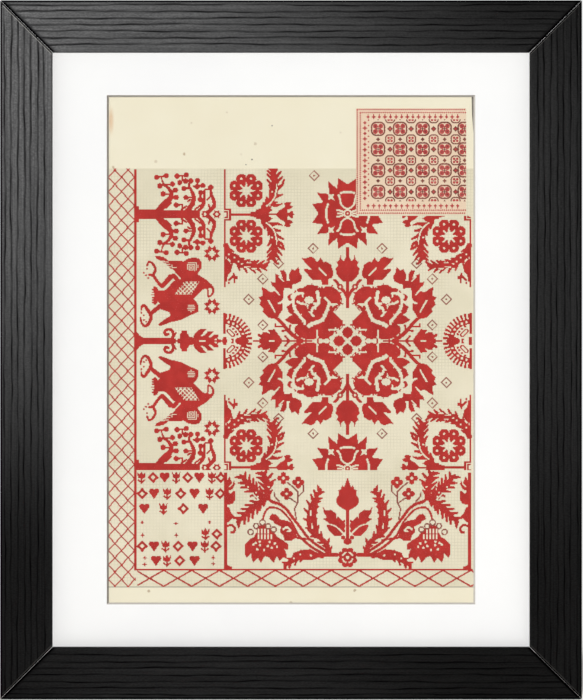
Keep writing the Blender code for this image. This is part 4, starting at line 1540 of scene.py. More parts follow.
        pen.discs(((100.8, 62.6), (88, 62.6), (101.8, 67.4), (93, 58.8)), 0.6, Tone.BLANK)
        pen.line([(94.4, 54.6), (91, 58.4)], 0.8, 0.9, Tone.BLANK)
        pen.shape([(101, 42.4), (101.6, 44.4), (103.2, 45.8), (105.4, 45.4), (108, 42.4), (112, 41.6),
            (115.6, 40.2), (117.6, 36), (118.4, 31.4), (115.4, 29.2), (110.8, 29), (110, 32), (107.8, 34.6),
            (108.6, 37.6), (105, 39.4), (103.2, 41.4)])
        pen.curve([(110, 36.2), (112, 37.4), (114.4, 35.6), (112.6, 34.8)], 1.3, 1.0, Tone.BLANK)
        self.basket_flower()
        pen.frond([(134, 19.6), (128, 20.6), (121, 19.4), (115, 16.2), (110.6, 13.4)], 6, 4.6, 2.7, 46,
            0.42)
        pen.shape([(133, 19), (129, 23), (123, 23.6), (117, 21.8), (114, 17.4), (121, 16.8), (128, 17)])
        pen.discs(((127.2, 19.8), (120.6, 20.6), (116.6, 18)), 0.65, Tone.BLANK)
        pen.shape([(73.6, 69), (75, 66.6), (76.4, 69.4), (77.4, 66.4), (78.4, 64.6), (79.6, 67.2),
            (79.8, 64), (78.4, 61), (76, 60.4), (76.4, 58), (78.6, 59.8), (80.2, 60.4), (80, 54.6),
            (78.4, 52), (75, 51.4)])
        pen.curve([(76.6, 62.8), (78, 64.4), (78.4, 66)], 0.9, 0.6, Tone.BLANK)
        pen.shape([(74, 50.6), (76.2, 49.6), (77.6, 46.4), (80, 44), (77.6, 42.6), (75.8, 40.6), (74, 41)])
        pen.curve([(74.6, 38), (77.6, 38.8), (79.6, 37), (79.2, 34.6), (77.6, 34.4)], 1.4, 1.7)
        pen.shape([(73, 15.4), (75.6, 13.6), (78.2, 12.6), (78, 11), (73, 11)])

    def basket_flower(self) -> None:
        """A drooping flower under a basketwork crown with small rings."""
        pen = self.pen
        pen.shape([(86.2, 20), (86.2, 27), (88.6, 29.6), (91.6, 31.4), (93.4, 34.4), (94, 37.6), (96, 39),
            (97, 42.2), (98, 39), (101, 37.6), (103.4, 35.6), (106, 31.6), (110, 29.2), (113, 26.8),
            (113.2, 23.2), (110.6, 23.8), (112.2, 20), (111.8, 18), (109.6, 18.6), (107.6, 16.4),
            (106, 19.4), (104, 15.2), (101, 18.6), (98.4, 19.4), (96, 15.2), (94, 18.2), (91, 15.4),
            (90.2, 18.4), (90.2, 21.6), (88, 19), (87.2, 18.4)])
        for row, count in ((31.6, 5), (35.0, 4)):
            for i in range(count):
                x = 94.6 + 1.95 * i
                pen.line([(x, row - 1.2), (x, row + 1.1)], 0.9, 0.9, Tone.BLANK)
        pen.discs(((91.4, 26.6), (92.8, 27.6), (95.4, 26.2), (95.2, 28.4), (98, 23.4), (100.4, 25.6),
            (102.8, 24.6), (104.6, 27.4), (106, 25.2), (93.6, 23.6), (101.4, 28.2)), 0.75, Tone.BLANK)
        for spot, radius in (((89.6, 34.4), 1.7), ((93, 38.2), 1.6), ((97, 40.4), 1.8), ((100.4, 38), 1.6),
                ((104, 36), 1.7)):
            pen.disc(spot, radius - 0.4, Tone.BLANK)
            pen.ring(spot, radius, 0.8, Tone.BROWN)

    def bottom_flower(self) -> None:
        """The small flower at the foot of the bottom panel's stem."""
        pen = self.pen
        cx, cy = self.middle_x, 18.6
        for i in range(8):
            angle = math.radians(22.5 + 45 * i)
            pen.disc((cx + 4.4 * math.cos(angle), cy + 4.6 * math.sin(angle)), 1.9)
        pen.disc((cx, cy), 4.6)
        pen.ring((cx, cy), 3.2, 0.9, Tone.BLANK, ((20, 70), (110, 160), (200, 250), (290, 340)))
        pen.disc((cx, cy), 1.0, Tone.BLANK)

    def cartouche(self) -> None:
        """Rows of small hearts, tulips and diamonds in the corner pen."""
        pen = self.pen
        rows = ((68.4, (21.6, 28.8, 36, 43.2, 50.4, 57.6, 65.4, 71)),
            (58.4, (22, 29.4, 37.6, 46, 54.6, 64, 70.6)), (49, (23.4, 35.2, 47.6, 60)),
            (33.2, (61.4, 68.6)), (25.6, (22, 29.4, 36.6, 44.4, 53.4, 61, 68)),
            (16.6, (30.6, 37.4, 45.4, 54.6)))
        makers = (self.tulip, self.diamond_knot, self.heart)
        for index, (height, places) in enumerate(rows):
            for i, x in enumerate(places):
                makers[(i + index) % 3]((x, height))
        for spot in ((22, 40.4), (43, 39.8), (64, 40.6), (22.2, 32.4), (43.2, 32.4), (23.6, 18.4),
                (23.6, 14.2), (66.2, 18.4), (66.4, 14.6)):
            pen.star(spot, 1.7, 0.6, 4)

    def tulip(self, centre: Point) -> None:
        """A small tulip on a stem.

        Args:
            centre: Its middle.
        """
        pen = self.pen
        x, y = centre
        pen.shape([(x - 2.6, y + 3.6), (x - 1.2, y + 1.8), (x, y + 3.8), (x + 1.2, y + 1.8),
            (x + 2.6, y + 3.6), (x + 2.2, y), (x, y - 1), (x - 2.2, y)])
        pen.line([(x, y), (x, y - 3.4)], 1.1)
        pen.line([(x - 2, y - 1.6), (x, y - 3), (x + 2, y - 1.6)], 1.0)

    def diamond_knot(self, centre: Point) -> None:
        """A diamond with an open middle.

        Args:
            centre: Its middle.
        """
        pen = self.pen
        pen.star(centre, 3.7, 2.5, 4)
        pen.star(centre, 1.6, 1.1, 4, 0, Tone.BLANK)

    def heart(self, centre: Point) -> None:
        """A small heart.

        Args:
            centre: Its middle.
        """
        pen = self.pen
        x, y = centre
        pen.disc((x - 1.5, y + 1.4), 1.7)
        pen.disc((x + 1.5, y + 1.4), 1.7)
        pen.shape([(x - 3.1, y + 1), (x + 3.1, y + 1), (x, y - 3.4)])


class InsetChart:
    """The small picture's pattern: two sizes of rosette in rows, inside a dotted border."""

    width = 110.0
    height = 106.0
    big_columns: tuple[float, ...] = (22.0, 44.0, 66.5, 88.5, 108.5)
    big_rows: tuple[float, ...] = (85.5, 65.0, 44.0, 22.5)
    small_columns: tuple[float, ...] = (34.0, 55.0, 77.5, 99.5)
    small_rows: tuple[float, ...] = (96.0, 75.0, 54.0, 33.5, 12.5)

    def __init__(self, parts: int = 3) -> None:
        """Starts a blank pattern with some cells to a stitch."""
        self.pen = Chart(self.width, self.height, parts)

    def draw(self) -> np.ndarray:
        """Draws the pattern.

        Returns:
            Its cells, with the lowest row first.
        """
        pen = self.pen
        for x in self.big_columns:
            for y in self.big_rows:
                self.big_rosette((x, y))
            for y in self.small_rows:
                pen.star((x, y), 2.2, 1.3, 4, 0, Tone.BROWN)
        for x in self.small_columns:
            for y in self.small_rows:
                self.small_rosette((x, y))
            for y in self.big_rows:
                pen.star((x, y), 2.9, 2.0, 4, 0, Tone.BROWN)
                pen.disc((x, y), 1.1)
        pen.box((0, 0), (14, self.height), Tone.BLANK)
        pen.box((0, self.height - 11), (self.width, self.height), Tone.BLANK)
        pen.box((0, 0), (self.width, 13), Tone.BLANK)
        self.border()
        return pen.cells

    def big_rosette(self, centre: Point) -> None:
        """A rounded square with four dots and a cross.

        Args:
            centre: Its middle.
        """
        pen, (x, y) = self.pen, centre
        pen.line(self.rounded_square(centre, 6.3), 1.5, tone=Tone.BROWN)
        for dx in (-2.7, 2.7):
            for dy in (-2.7, 2.7):
                pen.disc((x + dx, y + dy), 2.4)
                pen.disc((x + dx, y + dy), 0.8, Tone.BROWN)
        pen.line([(x - 2.2, y), (x + 2.2, y)], 0.8, tone=Tone.BROWN)
        pen.line([(x, y - 2.2), (x, y + 2.2)], 0.8, tone=Tone.BROWN)

    def rounded_square(self, centre: Point, reach: float) -> list[Point]:
        """Lists a closed square with round corners.

        Args:
            centre: Its middle.
            reach: How far its sides are from the middle.

        Returns:
            Its points.
        """
        turns = range(0, 361, 15)
        return [polar(centre, reach * (1 + 0.16 * abs(math.sin(math.radians(2 * turn)))), turn)
            for turn in turns]

    def small_rosette(self, centre: Point) -> None:
        """A rounded square round a flower of dots.

        Args:
            centre: Its middle.
        """
        pen = self.pen
        pen.line(self.rounded_square(centre, 4.3), 1.2, tone=Tone.BROWN)
        for angle in range(0, 360, 90):
            pen.disc(polar(centre, 2.2, angle + 45), 1.25)
        pen.disc(centre, 0.7, Tone.BROWN)

    def border(self) -> None:
        """The dotted lines at three sides, with small trees between them and the field."""
        pen = self.pen
        for offset in (1.2, 4.2):
            for x in np.arange(offset, self.width, 2.1):
                pen.disc((x, offset), 0.75)
                pen.disc((x, self.height - offset), 0.75)
            for y in np.arange(offset, self.height - offset, 2.1):
                pen.disc((offset, y), 0.75)
        for i, x in enumerate(np.arange(12, self.width - 3, 5.6)):
            for y, up in ((8.6, -1), (self.height - 8.6, 1)):
                pen.star((x, y), 2.6 if i % 2 else 1.8, 1.2, 4)
                pen.line([(x, y), (x, y + up * 2.6)], 0.9)
        for i, y in enumerate(np.arange(16, self.height - 12, 5.4)):
            pen.star((8.8, y), 2.8 if i % 2 else 1.9, 1.3, 4)
            pen.disc((12.4, y + 2.6), 0.8)


# --- the pieces of the framed print -------------------------------------------------------------


class Side(Enum):
    """The rails' sides: the turn, in degrees, that brings the top rail there."""

    TOP = 0
    RIGHT = 90
    BOTTOM = 180
    LEFT = 270


@dataclass
class Moulding:
    """The four mitred rails of the frame."""

    width: float = 44.3 * MM
    front: float = -24.8 * MM
    back: float = -5.0 * MM
    lip_back: float = -16.8 * MM
    rabbet: float = 38.3 * MM
    outer_round: float = 2.2 * MM
    inner_round: float = 0.6 * MM
    mitre_gap: float = 0.3 * MM
    mitre_drop: float = 0.4 * MM
    columns: int = 110
    steps: int = 170
    line_pitch: float = 5.6 * MM
    line_width: float = 0.55 * MM
    line_depth: float = 0.38 * MM
    line_fade: float = 1.2 * MM
    seam_steps: tuple[float, ...] = (0.0, 0.6 * MM, 1.2 * MM, 1.9 * MM, 2.6 * MM)
    # Strength of the painted shade along the mitre seams, on the top and bottom rails and on the uprights.
    painted_seam_shade: float = 3.1
    painted_arris_seam_shade: float = 2.2
    # The row of vertices beside the uprights' mitres that carries the painted highlight.
    painted_highlight_step: int = 3
    seam_slope: float = 1.4
    # Strength of the painted shade on the rounded outer edge.
    painted_edge_shade: float = 2.2

    def build(self) -> None:
        """Builds and dresses the four rails."""
        low, high = low_high("rail_top")
        side_low, side_high = low_high("rail_right")
        across, up = side_high.x, high.z
        for side in Side:
            level = side in (Side.TOP, Side.BOTTOM)
            bm = self.rail(across if level else up, side.value, not level)
            bmesh.ops.translate(bm, vec=(0, 0, up if level else across), verts=bm.verts[:])
            bmesh.ops.rotate(bm, cent=(0, 0, 0), matrix=Matrix.Rotation(math.radians(side.value), 3, "Y"),
                verts=bm.verts[:])
            name = side.name.lower()
            finish = WOOD_LEVEL if level else WOOD_UPRIGHT
            for face in bm.faces:
                middle = face.calc_center_median()
                face.material_index = int(middle.y > self.back - 0.1 * MM
                    or (middle.y > self.lip_back + 0.1 * MM and self.is_rabbet(face)))
            raw = RAW_LEVEL if level else RAW_UPRIGHT
            to_piece(bm, f"{name}_rail", (finish, raw), "frame", (f"rail_{name}",), 28.0)

    def is_rabbet(self, face: bmesh.types.BMFace) -> bool:
        """True on the wall of the rabbet, which faces the picture."""
        middle = face.calc_center_median()
        return face.normal.dot(Vector((middle.x, 0, middle.z))) < 0 and abs(face.normal.y) < 0.5

    def profile(self) -> bmesh.types.BMesh:
        """Draws the rail's outline at x = 0, from its outer edge at z = 0 down to the sight edge.

        Returns:
            The outline's bmesh.
        """
        bm = bmesh.new()
        corners = ((0, self.back), (0, self.front), (self.width, self.front), (self.width, self.lip_back),
                   (self.rabbet, self.lip_back), (self.rabbet, self.back))
        verts = [bm.verts.new((0, y, -u)) for u, y in corners]
        for pair in zip(verts, (*verts[1:], verts[0])):
            bm.edges.new(pair)
        for vert, radius, segments in ((verts[1], self.outer_round, 6), (verts[2], self.inner_round, 3)):
            bmesh.ops.bevel(bm, geom=[vert], offset=radius, offset_type="OFFSET", affect="VERTICES",
                segments=segments, profile=0.5, material=-1)
        face = max((e for e in bm.edges if e.verts[0].co.y + e.verts[1].co.y < 2 * self.front + 1e-7),
            key=lambda e: e.calc_length())
        bmesh.ops.subdivide_edges(bm, edges=[face], cuts=self.columns)
        return bm

    def rail(self, half: float, seed: int, arris: bool) -> bmesh.types.BMesh:
        """One rail along X with its outer edge at z = 0.

        Args:
            half: Half its outer length.
            seed: Sets where its grain lines wander.
            arris: True on the uprights, whose mitre seams get a weaker painted shade and, beside them, a
                painted highlight where the arris would catch the light.

        Returns:
            The rail, with a float attribute that holds the depth of its grain lines, painted shade along
            the mitre seams and the rounded outer edge, and below zero a painted highlight beside the
            uprights' mitres.
        """
        bm = self.profile()
        bmesh.ops.spin(bm, geom=bm.verts[:] + bm.edges[:], cent=(0, 0, 0), axis=(1, 0, 0), dvec=(1, 0, 0),
            steps=self.steps, angle=0)
        bmesh.ops.holes_fill(bm, edges=[e for e in bm.edges if e.is_boundary], sides=0)
        outward(bm)
        valley = bm.verts.layers.float.new("valley")
        ends, clear = self.seam_steps, len(self.seam_steps) - 1
        # How strong the painted shade along the mitre seam is: weaker on the uprights.
        dark = self.painted_arris_seam_shade if arris else self.painted_seam_shade
        for vert in bm.verts:
            across = -vert.co.z
            reach = half - across - self.mitre_gap * math.sqrt(0.5)
            step = round(vert.co.x)
            inner = min(step, self.steps - step)
            if inner < len(ends):
                along = (reach - ends[inner]) * (1 if step > self.steps / 2 else -1)
            else:
                along = (reach - ends[-1]) * (2 * (step - clear) / (self.steps - 2 * clear) - 1)
            vert.co.x = along
            if vert.co.y < self.front + 0.01 * MM:
                sunk = self.grain(along, across, seed)
                short = (reach - abs(along)) / MM
                # Painted shade along the mitre seam: the mask rises to full near the mitre, over the grain
                # lines' depth.
                vert[valley] = max(sunk, min(1.0, dark - short))
                slope = max(0.0, 1 - short / self.seam_slope)
                vert.co.y += self.line_depth * sunk + self.mitre_drop * slope
                # Painted highlight: minus one on the row beside the uprights' mitres.
                if arris and inner == self.painted_highlight_step:
                    vert[valley] = -1.0
            # Painted shade on the rounded outer edge, strongest at its outermost line.
            if across < self.outer_round:
                vert[valley] = max(vert[valley], min(1.0, self.painted_edge_shade * (1 - across / self.outer_round)))
        return bm

    def grain(self, along: float, across: float, seed: int) -> float:
        """How deep the grain's open lines are at a point of the face.

        Args:
            along: The point's place along the rail.
            across: Its distance from the outer edge.
            seed: Sets where the lines wander.

        Returns:
            From 0 on the face to 1 at the bottom of a line.
        """
        depth = 0.0
        count = int(self.width / self.line_pitch)
        for i in range(count):
            phase = seed * 0.37 + i * 2.1
            centre = (i + 0.72) * self.line_pitch + self.wander(along, phase)
            strength = 0.7 + 0.2 * math.sin(along * 47 + 2.3 * phase) + 0.16 * math.sin(along * 171 + phase)
            depth = max(depth, strength * math.exp(-((across - centre) / self.line_width) ** 2))
        edge = min(across - self.outer_round, self.width - self.inner_round - across) / self.line_fade
        return depth * min(1.0, max(0.0, edge))

    def wander(self, along: float, phase: float) -> float:
        """How far a grain line strays from straight, at a place along the rail."""
        waves = ((0.5, 19, 1.0), (0.26, 61, 1.7), (0.2, 143, 2.9), (0.13, 271, 0.6))
        return MM * sum(size * math.sin(along * turns + phase * shift) for size, turns, shift in waves)


@dataclass
class WindowMat:
    """The mat: a white board whose window is cut at 45 degrees."""

    opening: tuple[float, float] = (157.0 * MM, 217.0 * MM)
    cut: float = 1.5 * MM

    def build(self) -> None:
        """Builds and dresses the mat."""
        low, high = low_high("mat_board")
        bm = bmesh.new()
        bmesh.ops.create_grid(bm, x_segments=1, y_segments=1, size=1.0,
            matrix=Matrix.Rotation(math.pi / 2, 4, "X"))
        bmesh.ops.scale(bm, vec=(high.x, 1, high.z), verts=bm.verts[:])
        bmesh.ops.translate(bm, vec=(0, low.y, 0), verts=bm.verts[:])
        face = bm.faces[:][0]
        bmesh.ops.inset_region(bm, faces=[face], thickness=20 * MM, use_boundary=True)
        outer = [e for e in bm.edges if e.is_boundary]
        for vert in face.verts:
            vert.co.x = math.copysign(self.opening[0], vert.co.x)
            vert.co.z = math.copysign(self.opening[1], vert.co.z)
        window = face.edges[:]
        bmesh.ops.delete(bm, geom=[face], context="FACES_ONLY")
        rim = bmesh.ops.extrude_edge_only(bm, edges=window)["geom"]
        for vert in (item for item in rim if isinstance(item, bmesh.types.BMVert)):
            vert.co -= Vector((math.copysign(self.cut, vert.co.x), low.y - high.y,
                math.copysign(self.cut, vert.co.z)))
        for item in rim:
            if isinstance(item, bmesh.types.BMFace):
                item.material_index = 1
        skirt = bmesh.ops.extrude_edge_only(bm, edges=outer)["geom"]
        for vert in (item for item in skirt if isinstance(item, bmesh.types.BMVert)):
            vert.co.y = high.y
        loops = [e for e in bm.edges if e.is_boundary]
        bmesh.ops.bridge_loops(bm, edges=loops)
        outward(bm)
        to_piece(bm, "window_mat", (MAT_PAPER, MAT_CORE), "frame", ("mat_board",), 20.0)


@dataclass
class CoverletPrint:
    """The print: cream paper, a woven ground, and the pattern in ink."""

    stitch: float = 1.368 * MM
    left: float = -157.0 * MM
    foot: float = -202.5 * MM
    ground: float = 0.05 * MM
    ink: float = 0.04 * MM
    line_height: float = 0.5 * MM
    inset_corner: Point = (155.3, 232.4)
    inset_stitch: float = 0.853 * MM
    bands: int = 3
    fleck_places: tuple[Triple, ...] = ((-16.2, 191.0, 0.55), (-33.3, 162.2, 0.7), (-38.4, 157.8, 0.5))
    # Corners of the thin dark wedge of ink that is a painted shadow of the print's edge.
    painted_shadow_corners: tuple[Point, ...] = ((155.8, 216.6), (153.9, 216.6), (154.3, 200.0), (155.8, 181.0))

    def build(self) -> None:
        """Builds and dresses the paper, the grounds and the ink."""
        low, high = low_high("print_sheet")
        sheet = slab((low.x, low.y, low.z), (high.x, high.y, high.z))
        to_piece(sheet, "print_paper", (PAPER,), "frame", ("print_sheet",))
        chart = CoverletChart()
        width, height = chart.width * self.stitch, chart.height * self.stitch
        face = low.y - self.ground
        cloth = slab((self.left, face, self.foot), (self.left + width, low.y, self.foot + height))
        to_piece(cloth, "cloth_ground", (CLOTH,), "frame")
        cells = chart.draw()
        cell = self.stitch / chart.pen.parts
        rows = len(cells)
        band = rows // self.bands + 1
        for name, tone, finish in (("red", Tone.RED, RED_INK), ("brown", Tone.BROWN, BROWN_INK)):
            for index, bottom in enumerate(range(0, rows, band)):
                part = cells[bottom:bottom + band] == tone.value
                if part.any():
                    self.layer(part, cell, (self.left, self.foot + bottom * cell), face,
                        f"{name}_ink_{index}", finish)
        line = slab((self.left, face - self.ink, self.foot),
                    (self.left + width, face, self.foot + self.line_height))
        to_piece(line, "plate_line", (LINE_INK_AND_PAINTED_SHADOW,), "frame")
        self.inset(face)
        self.flecks(low.y)

    def flecks(self, face: float) -> None:
        """Lays three dark flecks on the bare paper, and a thin dark wedge beside the window's right edge
        that is a painted shadow of the print's edge.

        Args:
            face: The depth of the paper's front.
        """
        bm = bmesh.new()
        turn = Matrix.Rotation(math.pi / 2, 4, "X")
        for x, z, radius in self.fleck_places:
            place = Matrix.Translation((x * MM, face - self.ink / 2, z * MM))
            bmesh.ops.create_cone(bm, cap_ends=True, segments=9, radius1=radius * MM,
                radius2=0.8 * radius * MM, depth=self.ink, matrix=place @ turn)
        # Painted shadow: a thin dark wedge of ink beside the window's right edge.
        corners = [bm.verts.new((x * MM, face, z * MM)) for x, z in self.painted_shadow_corners]
        painted_shadow = bm.faces.new(corners)
        made = bmesh.ops.extrude_face_region(bm, geom=[painted_shadow])["geom"]
        bmesh.ops.translate(bm, vec=(0, -self.ink, 0), verts=[item for item in made
            if isinstance(item, bmesh.types.BMVert)])
        outward(bm)
        to_piece(bm, "paper_flecks", (LINE_INK_AND_PAINTED_SHADOW,), "frame")

    def inset(self, face: float) -> None:
        """Builds the small picture of the cloth's other side.

        Args:
            face: The depth of the cloth ground's front.
        """
        chart = InsetChart()
        cells = chart.draw()
        x = self.left + self.inset_corner[0] * self.stitch
        z = self.foot + self.inset_corner[1] * self.stitch
        width, height = chart.width * self.inset_stitch, chart.height * self.inset_stitch
        front = face - self.ground
        ground = slab((x, front, z), (x + width, face + self.ground, z + height))
        to_piece(ground, "inset_ground", (INSET_CLOTH,), "frame")
        for tone, name, ink in ((Tone.RED, "inset_ink", INSET_INK),
                                (Tone.BROWN, "inset_outlines", INSET_LINE)):
            self.layer(cells == tone.value, self.inset_stitch / chart.pen.parts, (x, z), front, name, ink)

    def layer(self, cells: np.ndarray, cell: float, corner: Point, face: float, name: str,
            finish: Finish) -> None:
        """Builds a thin layer of ink over the marked cells.

        Args:
            cells: True where there is ink, with the lowest row first.
            cell: A cell's size.
            corner: The x and z of the first cell's lower left corner.
            face: The depth that the layer lies on.
            name: The piece's name.
            finish: The ink.
        """
        rows, columns = cells.shape
        bm = bmesh.new()
        bmesh.ops.create_grid(bm, x_segments=columns, y_segments=rows, size=0.5,
            matrix=Matrix.Rotation(math.pi / 2, 4, "X"))
        bmesh.ops.scale(bm, vec=(columns * cell, 1, rows * cell), verts=bm.verts[:])
        middle = (corner[0] + columns * cell / 2, face - self.ink, corner[1] + rows * cell / 2)
        bmesh.ops.translate(bm, vec=middle, verts=bm.verts[:])
        empty = []
        for patch in bm.faces:
            place = patch.calc_center_median()
            if not cells[int((place.z - corner[1]) / cell), int((place.x - corner[0]) / cell)]:
                empty.append(patch)
        bmesh.ops.delete(bm, geom=empty, context="FACES")
        bmesh.ops.dissolve_limit(bm, angle_limit=0.01, verts=bm.verts[:], edges=bm.edges[:],
            use_dissolve_boundaries=False)
        rim = [e for e in bm.edges if e.is_boundary]
        walls = bmesh.ops.extrude_edge_only(bm, edges=rim)["geom"]
        bmesh.ops.translate(bm, vec=(0, self.ink, 0), verts=[item for item in walls
            if isinstance(item, bmesh.types.BMVert)])
        bmesh.ops.triangulate(bm, faces=[patch for patch in bm.faces if len(patch.verts) > 4])
        bmesh.ops.recalc_face_normals(bm, faces=bm.faces[:])
        to_piece(bm, name, (finish,), "frame")


@dataclass
class Backing:
    """Glass in front, and the boards, tapes and splines that stay as packed."""

    def build(self) -> None:
        """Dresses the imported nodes."""
        dress(GLASS, "glazing")
        dress(FOAM_BOARD, "mount_board")
        dress(HARDBOARD, "back_panel")
        dress(LINEN, "hinge_tape_left", "hinge_tape_right")
        nails = [f"v_nail_{row}_{side}_{place}" for row in ("top", "bottom") for side in ("left", "right")
            for place in ("inner", "outer")]
        dress(ZINC, *nails)


@dataclass
class PanHead:
    """A pan-head screw with a cross recess in its head."""

    height: float = 1.9 * MM
    shank: float = 1.3 * MM
    arm: float = 1.25 * MM
    half_slot: float = 0.32 * MM
    recess: float = 0.9 * MM
    steps: int = 32

    def build(self, node: str) -> None:
        """Builds and dresses one screw in place of its node.

        Args:
            node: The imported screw.
        """
        low, high = low_high(node)
        centre, radius, under = (low + high) / 2, (high.x - low.x) / 2, high.y - self.height
        outline = ((0.0, low.y), (0.3 * self.shank, low.y), (self.shank, under - 2 * self.shank),
            (self.shank, under), (radius, under), (radius, under + 0.4 * self.height),
            (0.93 * radius, under + 0.72 * self.height), (0.78 * radius, under + 0.93 * self.height),
            (0.58 * radius, high.y))
        bm = bmesh.new()
        verts = [bm.verts.new((across, y, 0)) for across, y in outline]
        edges = [bm.edges.new(pair) for pair in zip(verts, verts[1:])]
        bmesh.ops.spin(bm, geom=verts + edges, cent=(0, 0, 0), axis=(0, 1, 0), angle=2 * math.pi,
            steps=self.steps, use_merge=True)
        bmesh.ops.remove_doubles(bm, verts=bm.verts[:], dist=1e-6)
        rim = [edge for edge in bm.edges if edge.is_boundary]
        slot = self.cross(bm, high.y)
        bmesh.ops.triangle_fill(bm, edges=rim + slot, normal=(0, 1, 0), use_beauty=True)
        made = bmesh.ops.extrude_edge_only(bm, edges=slot)["geom"]
        sunk = [item for item in made if isinstance(item, bmesh.types.BMVert)]
        bmesh.ops.translate(bm, vec=(0, -self.recess, 0), verts=sunk)
        bmesh.ops.holes_fill(bm, edges=[edge for edge in bm.edges if edge.is_boundary], sides=0)
        bmesh.ops.translate(bm, vec=(centre.x, 0, centre.z), verts=bm.verts[:])
        outward(bm)
        to_piece(bm, f"{node}_visual", (ZINC,), frame["nodes"][node]["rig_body"], (node,))

    def cross(self, bm: bmesh.types.BMesh, y: float) -> list[bmesh.types.BMEdge]:
        """Adds the recess's cross-shaped outline to the head's top.

        Args:
            bm: The screw.
            y: The height of the head's top.

        Returns:
            The outline's edges.
        """
        corners = []
        for turn in range(4):
            quarter = Matrix.Rotation(turn * math.pi / 2, 3, "Y")
            spots = ((self.arm, self.half_slot), (self.arm, -self.half_slot),
                (self.half_slot, -self.half_slot))
            corners += [quarter @ Vector((across, 0, up)) for across, up in spots]
        verts = [bm.verts.new((corner.x, y, corner.z)) for corner in corners]
        return [bm.edges.new(pair) for pair in zip(verts, (*verts[1:], verts[0]))]


@dataclass
class Hardware:
    """Turn buttons, hangers and wall bumpers on the back."""

    bumper_round: float = 1.6 * MM

    def build(self) -> None:
        """Builds and dresses the hardware."""
        screw = PanHead()
        places = [f"{row}_{side}" for row in ("top", "bottom") for side in ("left", "right")]
        places += [f"{side}_{row}" for side in ("left", "right") for row in ("upper", "lower")]
        for place in places:
            dress(ZINC, f"turn_button_{place}")
            screw.build(f"turn_button_{place}_screw")
        for side in ("left", "right"):
            dress(ZINC, f"hanger_{side}_strap", f"hanger_{side}_ring")
            screw.build(f"hanger_{side}_screw")
        for row in ("top", "bottom"):
            for side in ("left", "right"):
                self.bumper(f"bumper_{row}_{side}")

    def bumper(self, node: str) -> None:
        """Builds one domed rubber bumper in place of its node.

        Args:
            node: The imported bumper.
        """
        low, high = low_high(node)
        centre, radius, depth = (low + high) / 2, (high.x - low.x) / 2, high.y - low.y
        bm = bmesh.new()
        bmesh.ops.create_cone(bm, cap_ends=True, segments=40, radius1=radius, radius2=radius, depth=depth,
                              matrix=Matrix.Rotation(math.pi / 2, 4, "X"))
        top = [e for e in bm.edges if all(vert.co.y > 0 for vert in e.verts)]
        bmesh.ops.bevel(bm, geom=top, offset=self.bumper_round, offset_type="OFFSET", affect="EDGES",
            segments=5, profile=0.5, material=-1)
        bmesh.ops.translate(bm, vec=centre, verts=bm.verts[:])
        outward(bm)
        to_piece(bm, f"{node}_pad", (RUBBER,), "frame", (node,), 40.0)


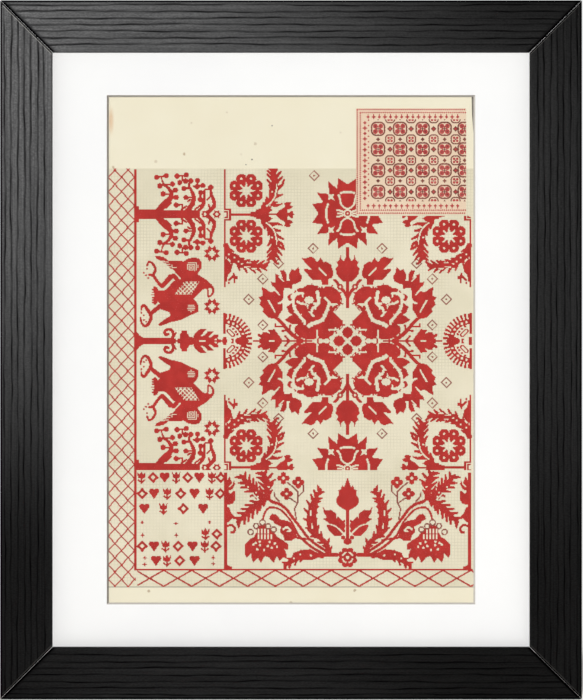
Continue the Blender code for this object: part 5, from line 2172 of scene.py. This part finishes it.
@dataclass
class Studio:
    """The floor, the lights and the camera."""

    lens: float = 150.0
    film: float = 24.0
    view_height: float = 594.8 * MM
    aim: Point = (0.4 * MM, -0.2 * MM)
    sun_share: float = 0.745
    slant: float = 0.74
    key_spread: float = 24.0
    back_power: float = 1.9
    back_spread: float = 30.0
    back_toward: Triple = (-0.5, -1.0, -0.6)
    fill: float = 0.13
    backdrop: float = 0.85
    floor_radius: float = 6.0
    floor_gap: float = 1.0 * MM
    sheen_away: float = 1.2
    sheen_offset: float = 0.2
    sheen_soft: float = 0.06
    sheens: tuple[tuple[str, Point, float, float], ...] = (("sheen_left", (-0.21, 0.24), 0.40, 185.0),
        ("sheen_right", (0.25, 0.08), 0.27, 30.0), ("sheen_foot", (-0.06, -0.29), 0.2, 17.0))

    def build(self) -> None:
        """Builds the floor, the lights and the camera."""
        low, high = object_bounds()
        self.floor(low[2])
        self.world()
        self.lights()
        self.camera(low[1])
        bpy.context.scene.view_settings.view_transform = "Standard"

    def floor(self, height: float) -> None:
        """Lays the pale floor.

        Args:
            height: Its top.
        """
        bm = bmesh.new()
        bmesh.ops.create_circle(bm, cap_ends=True, segments=96, radius=self.floor_radius,
            matrix=Matrix.Translation((0, 0, height - self.floor_gap)))
        mesh = bpy.data.meshes.new("floor")
        bm.to_mesh(mesh)
        bm.free()
        mesh.materials.append(PaleFloor("Pale floor").material())
        floor = bpy.data.objects.new("floor", mesh)
        bpy.context.scene.collection.objects.link(floor)
        floor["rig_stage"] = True

    def world(self) -> None:
        """Sets the even fill light."""
        world = bpy.data.worlds.new("Studio")
        world.use_nodes = True
        shade = world.node_tree.nodes["Background"]
        shade.inputs["Color"].default_value = (1.0, 1.0, 1.0, 1.0)
        recipe = Recipe(world.node_tree)
        seen = recipe.node("LightPath").outputs["Is Camera Ray"]
        strength = recipe.node("MapRange", {0: seen, 3: self.fill, 4: self.backdrop}).outputs[0]
        world.node_tree.links.new(strength, shade.inputs["Strength"])
        bpy.context.scene.world = world

    def sun(self, name: str, power: float, spread: float, toward: Vector) -> bpy.types.Object:
        """Sets one broad light.

        Args:
            name: The light's name.
            power: Its power.
            spread: Its spread, in degrees.
            toward: The way that it shines.

        Returns:
            The light.
        """
        data = bpy.data.lights.new(name, "SUN")
        data.energy = power
        data.angle = math.radians(spread)
        lamp = bpy.data.objects.new(name, data)
        lamp.rotation_euler = toward.to_track_quat("-Z", "Y").to_euler()
        bpy.context.scene.collection.objects.link(lamp)
        return lamp

    def lights(self) -> None:
        """Sets the broad key from the upper left, and the rails' own sheen."""
        toward = Vector((self.slant, 1.0, -self.slant))
        key = self.sun("key", self.sun_share * math.pi * toward.length, self.key_spread, toward)
        self.sun("back", self.back_power, self.back_spread, Vector(self.back_toward))
        rails = bpy.data.collections.new("rails")
        for piece in bpy.data.objects:
            if piece.name.endswith("_rail"):
                rails.objects.link(piece)
        key.light_linking.blocker_collection = rails
        key.light_linking.receiver_collection = rails
        for member in rails.collection_objects:
            member.light_linking.link_state = "EXCLUDE"
        only = bpy.data.collections.new("sheen rails")
        for piece in rails.objects:
            only.objects.link(piece)
        for name, aim, reach, power in self.sheens:
            data = bpy.data.lights.new(name, "SPOT")
            data.energy = power
            data.shadow_soft_size = self.sheen_soft
            data.spot_blend = 1.0
            data.spot_size = 2 * math.atan(reach / self.sheen_away)
            spot = bpy.data.objects.new(name, data)
            spot.location = (aim[0] - self.sheen_offset, -self.sheen_away, aim[1] + self.sheen_offset)
            toward = Vector((aim[0], 0, aim[1])) - spot.location
            spot.rotation_euler = toward.to_track_quat("-Z", "Y").to_euler()
            bpy.context.scene.collection.objects.link(spot)
            spot.light_linking.receiver_collection = only

    def camera(self, front: float) -> None:
        """Sets the camera straight on, far off, with the frame filling its view.

        Args:
            front: The depth of the rails' face.
        """
        data = bpy.data.cameras.new("camera")
        data.sensor_fit = "VERTICAL"
        data.sensor_height = self.film
        data.lens = self.lens
        away = self.view_height * self.lens / self.film
        data.clip_end = 20.0
        camera = bpy.data.objects.new("camera", data)
        camera.location = (self.aim[0], front - away, self.aim[1])
        camera.rotation_euler = (math.pi / 2, 0, 0)
        bpy.context.scene.collection.objects.link(camera)
        bpy.context.scene.camera = camera


def main() -> None:
    """Builds the sub-assemblies in order and reports each piece."""
    logging.basicConfig(level=logging.INFO, format="%(message)s")
    for assembly in (Moulding(), WindowMat(), CoverletPrint(), Backing(), Hardware(), Studio()):
        LOG.info("building %s", type(assembly).__name__)
        assembly.build()


if __name__ == "__main__":
    main()
